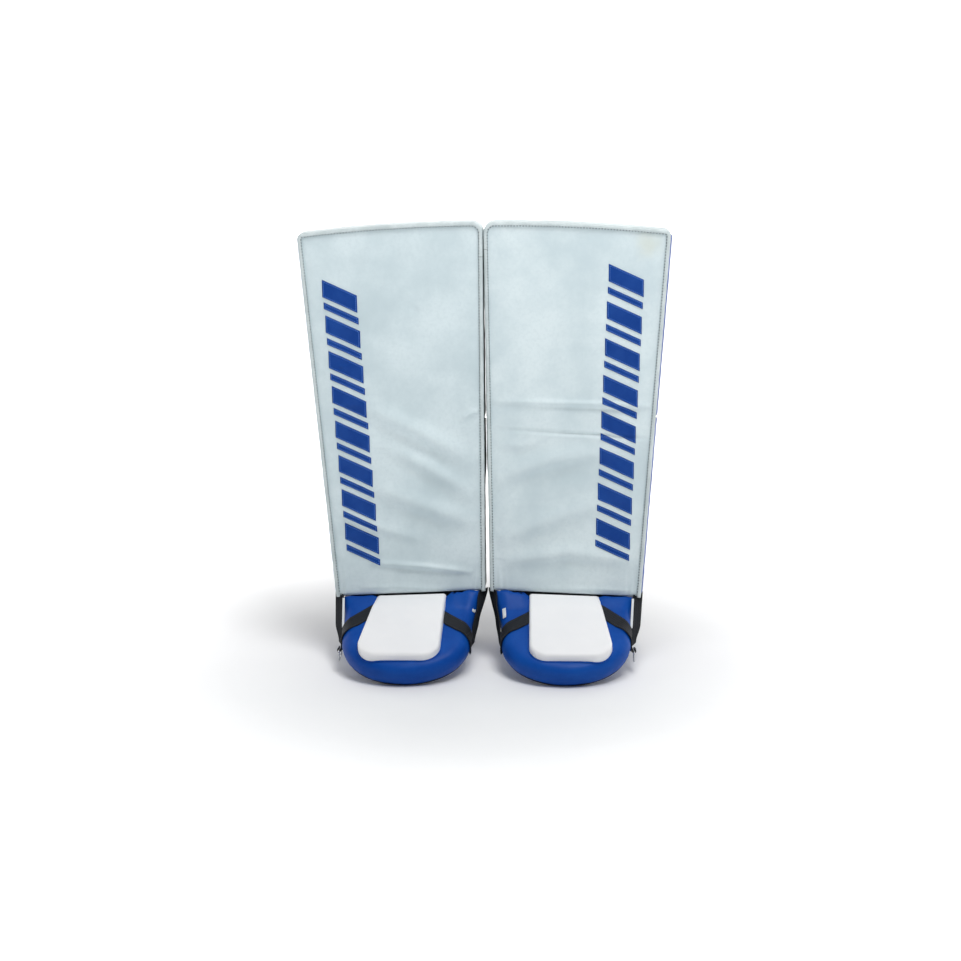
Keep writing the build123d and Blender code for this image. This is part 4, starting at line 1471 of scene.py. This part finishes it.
def stuffed(name, shape, material, swell, held=None, voxel=5.0):
    """A stuffed left piece: rounded, then blown up like cloth, but by no more than swell."""
    piece = make_piece(name, shape, 1, material)
    modifier = piece.modifiers.new("even_mesh", "REMESH")
    modifier.mode, modifier.voxel_size = "VOXEL", voxel * MM
    rounding = piece.modifiers.new("round_off", "SMOOTH")
    rounding.factor, rounding.iterations = 0.5, 3
    apply_modifiers(piece)
    rest = [v.co.copy() for v in piece.data.vertices]
    limit = swell * MM
    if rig.quick():
        moved = [v.normal * (0.5 * limit) for v in piece.data.vertices]
    else:
        moved = inflate(piece, rest, held)
    for vertex, start, move in zip(piece.data.vertices, rest, moved):
        if move.length > limit:
            move = move.normalized() * limit
        wave = noise.noise(start * 38.0 + vec(1.0, 0, 0)) * 0.25 * limit
        vertex.co = start + move + vertex.normal * wave
    soften(piece)
    smooth(piece.data)
    return piece


def inflate(piece, rest, held):
    """Blow the piece up as cloth, and return how far each point moves."""
    cloth_modifier = piece.modifiers.new("inflate", "CLOTH")
    settings = cloth_modifier.settings
    settings.quality = 4
    settings.mass = 0.25
    settings.tension_stiffness = settings.compression_stiffness = 12.0
    settings.shear_stiffness, settings.bending_stiffness = 8.0, 2.0
    settings.use_pressure, settings.uniform_pressure_force = True, 4.0
    settings.effector_weights.gravity = 0.0
    if held is not None:
        group = piece.vertex_groups.new(name="held")
        group.add([i for i, co in enumerate(rest) if held(co / MM)], 1.0, "ADD")
        settings.vertex_group_mass = "held"
    cloth_modifier.collision_settings.use_collision = False
    scene = bpy.context.scene
    for frame_number in range(1, 21):
        scene.frame_set(frame_number)
    blown = piece.evaluated_get(bpy.context.evaluated_depsgraph_get())
    moved = [v.co - start for v, start in zip(blown.to_mesh().vertices, rest)]
    blown.to_mesh_clear()
    piece.modifiers.clear()
    scene.frame_set(1)
    return moved


def rounded_track(corners, radius, step=4.0):
    """A track through corners, in millimetres, with each inner corner rounded."""
    points = [corners[0]]
    for before, here, after in zip(corners, corners[1:], corners[2:]):
        arc = corner_arc(before, here, after, radius, 6)
        extend_straight(points, arc[0], step)
        points.extend(arc[1:])
    extend_straight(points, corners[-1], step)
    return points


def flat_ribbon(shape, points, across, width, thickness, turn=1.0):
    """A strip along points that keeps one across direction."""
    aheads = [run_at(points, index).normalized() for index in range(len(points))]
    ribbon(shape, [(here, across, ahead.cross(across).normalized() * turn)
                   for here, ahead in zip(points, aheads)], width, thickness)


tape_width, wing_rear_y = 13.0, 152.0
calf_z, knee_z_range, inner_calf_top = (150.0, 396.0), (456.0, 590.0), 298.0
calf_strap_z, knee_strap_z, rivet_y = (222.0, 358.0), (523.0,), 100.0
heel_rivet = vec(0.0, 92.0, 62.0)
j_plan = ((42.0, 53.0), (56.0, 53.0), (56.0, 138.0), (100.0, 138.0), (100.0, 152.0), (42.0, 152.0))
outer_plan = ((213.0, 57.0), (227.0, 57.0), (227.0, 152.0), (213.0, 152.0))


def seam_held(*heights):
    """Points held still because they lie on a seam at one of these heights."""
    return lambda co: any(abs(co.z - height) < 2.6 for height in heights)


def wing_cover(name, plan, span, held):
    """A stuffed wing over its plan, from one height of span to the other."""
    shape = Shape()
    prism(shape, plan, 2, *span, 2.6)
    return stuffed(name, shape, nylon, 2.4, held)


# Wings: padded panels with black tape bound round their edges.
def j_binding(low, high):
    """Tape along the J wing's lower and upper rims, and up its free edge."""
    shape = Shape()
    for z, lift in ((low, -1.0), (high, 1.0)):
        track = rounded_track([vec(49.0, 56.0, z), vec(49.0, 145.0, z), vec(99.0, 145.0, z)], 8.0)
        stations = [(here, across * lift, out) for here, across, out in
                    stations_along(track, [upward * lift] * len(track))]
        ribbon(shape, stations, tape_width, 2.4)
    edge = [vec(100.0, 145.0, low + (high - low) * k / 30) for k in range(31)]
    ribbon(shape, [(p, rearward, outward) for p in edge], tape_width, 2.4)
    return shape


def wing_rim(x, front_y, low, high, inset):
    """Corners of the outer wing's lower, rear and upper rims, moved in by inset."""
    return [vec(x, front_y, low + inset), vec(x, wing_rear_y - inset, low + inset),
            vec(x, wing_rear_y - inset, high - inset), vec(x, front_y, high - inset)]


def flat_binding(low, high):
    """Tape round the outer wing's lower, rear and upper rims."""
    shape = Shape()
    track = rounded_track(wing_rim(220.0, 60.0, low, high, 0.0), 8.0)
    flat_ribbon(shape, track, outward, tape_width, 2.4, -1.0)
    return shape


def flat_stitches(low, high):
    """Stitches just inside the outer wing's tape, on both its faces."""
    shape = Shape()
    for x, out in ((227.2, outward), (212.8, -outward)):
        track = rounded_track(wing_rim(x, 62.0, low, high, 5.5), 5.0)
        stitches(shape, track, [out] * len(track), 4.0, 2.8, 0.55)
    return shape


calf_seams = seam_held(186.0, 222.0, 258.0, 294.0, 326.0, 358.0)
knee_seams = seam_held(490.0, 523.0, 556.0)

for section, span, seams, body in (("calf", (calf_z[0], inner_calf_top), calf_seams, "shin"),
                                   ("knee", knee_z_range, knee_seams, "thigh")):
    both(wing_cover(f"left_inner_{section}_cover", j_plan, span, seams), body, "black_nylon",
         f"inner_{section}_wing", 0.6)
    both(make_piece(f"left_inner_{section}_tape", j_binding(*span), 1, binding_black),
         body, "black_nylon")
for section, span, seams, body in (("calf", calf_z, calf_seams, "shin"),
                                   ("knee", knee_z_range, knee_seams, "thigh")):
    wrap = f"{section}_wrap"
    both(wing_cover(f"left_outer_{section}_cover", outer_plan, span, seams), wrap,
         "black_nylon", f"outer_{section}_wing", 0.6)
    both(make_piece(f"left_outer_{section}_tape", flat_binding(*span), 1, binding_black),
         wrap, "black_nylon")
    both(make_piece(f"left_outer_{section}_stitches", flat_stitches(*span), 1, grey_thread),
         wrap, "black_nylon")
    # A strip of nylon is the hinge between the pad's back and the wing.
    hinge_shape, middle = Shape(), sum(span) / 2
    points = [vec(237.0 - 0.4 * k, 53.6, middle) for k in range(20)]
    points += [vec(228.6, 54.5 + k, middle) for k in range(12)]
    flat_ribbon(hinge_shape, points, upward, span[1] - span[0] - 12.0, 1.2)
    both(make_piece(f"left_{section}_hinge_strip", hinge_shape, 1, nylon), body, "black_nylon",
         blend_to=(wrap, (0.0, 0.0545, 0.0), (0.0, 0.059, 0.0)))

# Knee stack: three covered foam blocks with a stitched seam round each.
stack_shape, stack_seams = Shape(), Shape()
for layer in range(3):
    low_x = 6.0 + layer * 16.8
    plan = ((53.0, 300.0), (152.0, 300.0), (152.0, 396.0), (53.0, 396.0))
    prism(stack_shape, plan, 0, low_x, low_x + 16.4, 1.8)
    for off in (-6.4, 6.4):
        corners = [vec(low_x + 8.2, y, z) for y, z in
                   ((56.0, 300.6), (151.4, 300.6), (151.4, 395.4), (56.0, 395.4))]
        track = [p + outward * off for p in rounded_track(corners, 8.0)]
        outs = [vec(0.0, p.y - 104.0, p.z - 348.0).normalized() for p in track]
        stitches(stack_seams, track, outs, 4.2, 3.0, 0.5)
both(stuffed("left_knee_blocks", stack_shape, knee_cover, 1.5, voxel=4.5), "shin", "knee_foam",
     "knee_stack", 0.9)
both(make_piece("left_knee_block_stitches", stack_seams, 1, blue_thread), "shin", "knee_foam")

# Calf pad: soft lining, quilted in upright channels.
pad_shape = Shape()
prism(pad_shape, ((62.0, 150.0), (207.0, 150.0), (207.0, 396.0), (62.0, 396.0)), 1, 53.0, 67.0, 2.4)
quilt_x = (91.0, 120.0, 149.0, 178.0)


def quilt_held(co):
    return co.y < 58.0 or any(abs(co.x - x) < 2.6 for x in quilt_x)


calf_lining = stuffed("left_calf_lining", pad_shape, lining, 3.2, quilt_held)
for vertex in calf_lining.data.vertices:
    x, y, z = vertex.co / MM
    if y > 60.0:
        groove = max(math.exp(-(((x - place) / 3.4) ** 2)) for place in quilt_x)
        vertex.co.y -= 2.6 * MM * groove
keep_place(calf_lining)
both(calf_lining, "shin", "lining", "calf_pad", 0.5)
quilt_shape = Shape()
for x in quilt_x:
    track = [vec(x, 63.6, 156.0 + 234.0 * k / 60) for k in range(61)]
    stitches(quilt_shape, track, [rearward] * len(track), 4.4, 3.1, 0.5)
both(make_piece("left_calf_quilting", quilt_shape, 1, black_thread), "shin", "lining")

# Heel wings: two stiff padded plates that reach down to the floor behind the boot.
heel_shape, heel_tape = Shape(), Shape()
for low_x in (62.0, 200.0):
    plan = ((60.0, 0.0), (130.0, 0.0), (130.0, 146.0), (53.0, 146.0), (53.0, 108.0))
    prism(heel_shape, plan, 0, low_x, low_x + 10.0, 1.6)
    corners = [vec(low_x + 5.0, y, z) for y, z in
               ((54.0, 111.0), (61.0, 1.2), (129.4, 1.2), (129.4, 145.4), (54.0, 145.4))]
    flat_ribbon(heel_tape, rounded_track(corners, 12.0), outward, 9.4, 2.0, -1.0)
both(stuffed("left_heel_plates", heel_shape, black_leather, 1.4, voxel=4.0), "shin",
     "black_leather", "heel_wings", 0.9)
both(make_piece("left_heel_tape", heel_tape, 1, binding_black), "shin", "black_leather")


def wrap_track(end_x):
    """A wrap strap's middle, from the outer wing's side to its end behind the leg."""
    corners = [vec(228.3, 80.0, 0.0), vec(228.3, 154.5, 0.0), vec(end_x, 154.5, 0.0)]
    made = []
    for p in rounded_track(corners, 7.0):
        # It bows out a little where nothing is behind it.
        share = (p.x - 102.0) / (212.0 - 102.0)
        made.append(p + rearward * (2.2 * math.sin(math.pi * share) if 0 < share < 1 else 0.0))
    return made


def wrap_shape(places):
    """Wrap straps at (height, end) places, with their sewn-down ends."""
    shape, sewn = Shape(), Shape()
    for z, end_x in places:
        flat_ribbon(shape, [p + upward * z for p in wrap_track(end_x)], upward, 38.0, 2.0)
        # The end is folded back on itself and sewn down as a pull tab.
        tab = [vec(end_x + 1.0 + 3.0 * k, 156.4, z) for k in range(9)]
        flat_ribbon(shape, tab, upward, 37.0, 1.8)
        near, far = end_x + 4, end_x + 22
        for (ax, az), (bx, bz) in (((near, -15), (far, -15)), ((far, -15), (far, 15)),
                                   ((far, 15), (near, 15)), ((near, 15), (near, -15)),
                                   ((near, -15), (far, 15)), ((near, 15), (far, -15))):
            path = [vec(ax, 157.4, z + az), vec(bx, 157.4, z + bz)]
            stitches(sewn, path, [rearward], 3.4, 2.5, 0.5)
        for (ay, az), (by, bz) in (((84, -15), (84, 15)), ((116, -15), (116, 15)),
                                   ((84, -15), (116, -15)), ((84, 15), (116, 15))):
            path = [vec(229.4, ay, z + az), vec(229.4, by, z + bz)]
            stitches(sewn, path, [outward], 3.4, 2.5, 0.5)
    return shape, sewn


for section, places, node in (("calf", zip(calf_strap_z, (50.0, 12.0)), "calf_straps"),
                              ("knee", zip(knee_strap_z, (50.0,)), "knee_strap")):
    strip, sewn = wrap_shape(places)
    both(make_piece(f"left_{section}_webbing", strip, 1, webbing_black), f"{section}_wrap",
         "black_webbing", node)
    both(make_piece(f"left_{section}_webbing_stitches", sewn, 1, grey_thread),
         f"{section}_wrap", "black_webbing")

patch_shape = Shape()
for z, (low_x, high_x) in zip(calf_strap_z, ((48.0, 98.0), (10.0, 54.0))):
    track = [vec(low_x + (high_x - low_x) * k / 8, 152.65, z) for k in range(9)]
    flat_ribbon(patch_shape, track, upward, 34.0, 1.3)
both(make_piece("left_hook_tape", patch_shape, 1, hook_tape), "shin", "hook_tape", "hook_patches")


def dome(shape, place, out, radius=5.2, height=1.9):
    """A domed rivet head on a flat collar."""
    side = out.cross(rearward).normalized()
    turns = [2 * math.pi * k / 24 for k in range(24)]
    shape.closed_rows([
        [tuple(place + out * (rise * height)
               + (rearward * math.cos(a) + side * math.sin(a)) * (reach * radius)) for a in turns]
        for reach, rise in ((0.02, 1.0), (0.35, 0.95), (0.65, 0.78), (0.85, 0.5), (1.0, 0.12),
                            (1.0, -0.4 / height), (0.02, -0.4 / height))])


rivet_shape = Shape()
for z in calf_strap_z:
    for dz in (-10.0, 10.0):
        dome(rivet_shape, vec(229.5, rivet_y, z + dz), outward)
        dome(rivet_shape, vec(212.6, rivet_y, z + dz), -outward)
both(make_piece("left_wrap_rivet_heads", rivet_shape, 1, steel), "calf_wrap", "steel",
     "calf_rivets")
rivet_shape = Shape()
for x, out in ((59.4, -outward), (72.2, outward), (199.8, -outward), (212.6, outward)):
    dome(rivet_shape, heel_rivet + outward * x, out)
both(make_piece("left_heel_rivet_heads", rivet_shape, 1, steel), "shin", "steel", "heel_rivets")

# The heel strap is a bail of webbing that swings on its two rivets.
bail_angle, bail_near, bail_far = math.radians(40.0), -12.5, 69.0
bail_down = vec(0.0, math.cos(bail_angle), -math.sin(bail_angle))
bail_up = vec(0.0, math.sin(bail_angle), math.cos(bail_angle))
bail_shape, bail_sewn = Shape(), Shape()
corners = [heel_rivet + outward * x + bail_down * reach for x, reach in
           ((60.7, bail_near), (60.7, bail_far), (211.3, bail_far), (211.3, bail_near))]
flat_ribbon(bail_shape, rounded_track(corners, 11.0), bail_up, 25.0, 2.0, -1.0)
for x, out in ((59.6, -outward), (212.4, outward)):
    for off in (-9.5, 9.5):
        path = [heel_rivet + outward * x + bail_up * off + bail_down * k for k in (-8.0, 12.0)]
        stitches(bail_sewn, path, [out], 3.4, 2.5, 0.5)
both(make_piece("left_heel_webbing", bail_shape, 1, webbing_black), "heel_loop",
     "black_webbing", "heel_strap")
both(make_piece("left_heel_webbing_stitches", bail_sewn, 1, grey_thread), "heel_loop",
     "black_webbing")

# ------------------------------------------------------------------ stage
def place_light(name, spot, target, energy, size):
    """A softbox at spot, turned to its target."""
    data = bpy.data.lights.new(name, "AREA")
    data.energy, data.shape, data.size, data.size_y = energy, "RECTANGLE", size[0], size[1]
    lamp = bpy.data.objects.new(name, data)
    lamp.location = spot
    lamp.rotation_euler = (Vector(target) - Vector(spot)).to_track_quat("-Z", "Y").to_euler()
    bpy.context.scene.collection.objects.link(lamp)


place_light("key_softbox", (0.7, -1.2, 2.7), (0.0, 0.0, 0.4), 30.0, (1.0, 0.7))
place_light("overhead_softbox", (0.15, -0.45, 2.6), (0.0, -0.1, 0.0), 16.0, (0.9, 0.7))

# White paper runs over the floor and curves up behind the pads.
sweep_rows = [(y, 0.0) for y in (-40.0, -10.0, -3.0, 0.0, 1.8)]
for k in range(1, 13):
    bend = math.radians(k * 7.5)
    sweep_rows.append((1.8 + 1.5 * math.sin(bend), 1.5 * (1 - math.cos(bend))))
sweep_rows.append((3.3, 6.0))
floor_mesh = bpy.data.meshes.new("floor")
floor_mesh.from_pydata(
    [(x, y, z) for y, z in sweep_rows for x in (-40.0, 40.0)], [],
    [(2 * k, 2 * k + 1, 2 * k + 3, 2 * k + 2) for k in range(len(sweep_rows) - 1)],
)
smooth(floor_mesh)
floor = bpy.data.objects.new("floor", floor_mesh)
floor.location.z = -0.0005
bpy.context.scene.collection.objects.link(floor)
paper = Graph("floor_paper")
paper_place = paper.object_place()
paper_tone = paper.spread(paper.noise(paper_place, 3.0), 0.3, 0.7, 0.0, 1.0)
# Away from the pads the paper glows, which is painted light: its emission rises from nothing within 0.3 m of the pads
# to 0.8 beyond 1.1 m, so it reads as an even white there and stays darker near the pads.
paper_glow_distance = paper.add("VectorMath", {0: paper_place}, operation="LENGTH").outputs["Value"]
paper.put(paper.shader.inputs["Emission Color"], rgb(1.0, 1.0, 1.0))
paper.put(paper.shader.inputs["Emission Strength"], paper.spread(paper_glow_distance, 0.3, 1.1, 0.0, 0.8))
floor.data.materials.append(
    paper.finish(paper.mix(paper_tone, rgb(0.90, 0.90, 0.90), rgb(0.92, 0.92, 0.92)), 0.9)
)
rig.stage(floor)

world = bpy.data.worlds.new("studio")
world.use_nodes = True
world.node_tree.nodes["Background"].inputs["Color"].default_value = rgb(0.96, 0.98, 1.0)
world.node_tree.nodes["Background"].inputs["Strength"].default_value = 0.24
bpy.context.scene.world = world
bpy.context.scene.view_settings.view_transform = "Standard"

camera_spot = vec(0.160, -2.9, 1.0)
camera_yaw, camera_pitch, camera_roll = (math.radians(a) for a in (-3.35, 13.23, -0.82))
focal_pixels, image_width, sensor = 1747.0, 961.0, 36.0
camera_data = bpy.data.cameras.new("camera")
camera_data.sensor_width = sensor
camera_data.lens = sensor * focal_pixels / image_width
camera = bpy.data.objects.new("camera", camera_data)
turn = Matrix.Rotation(-camera_yaw, 4, "Z") @ Matrix.Rotation(math.pi / 2 - camera_pitch, 4, "X")
camera.matrix_world = (
    Matrix.Translation(camera_spot) @ turn @ Matrix.Rotation(camera_roll, 4, "Z")
)
bpy.context.scene.collection.objects.link(camera)
bpy.context.scene.camera = camera

bpy.context.view_layer.update()
low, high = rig.bounds()
with open("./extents.json", "w") as out:
    json.dump({"cad": [list(cad_low), list(cad_high)], "visual": [list(low), list(high)]}, out)
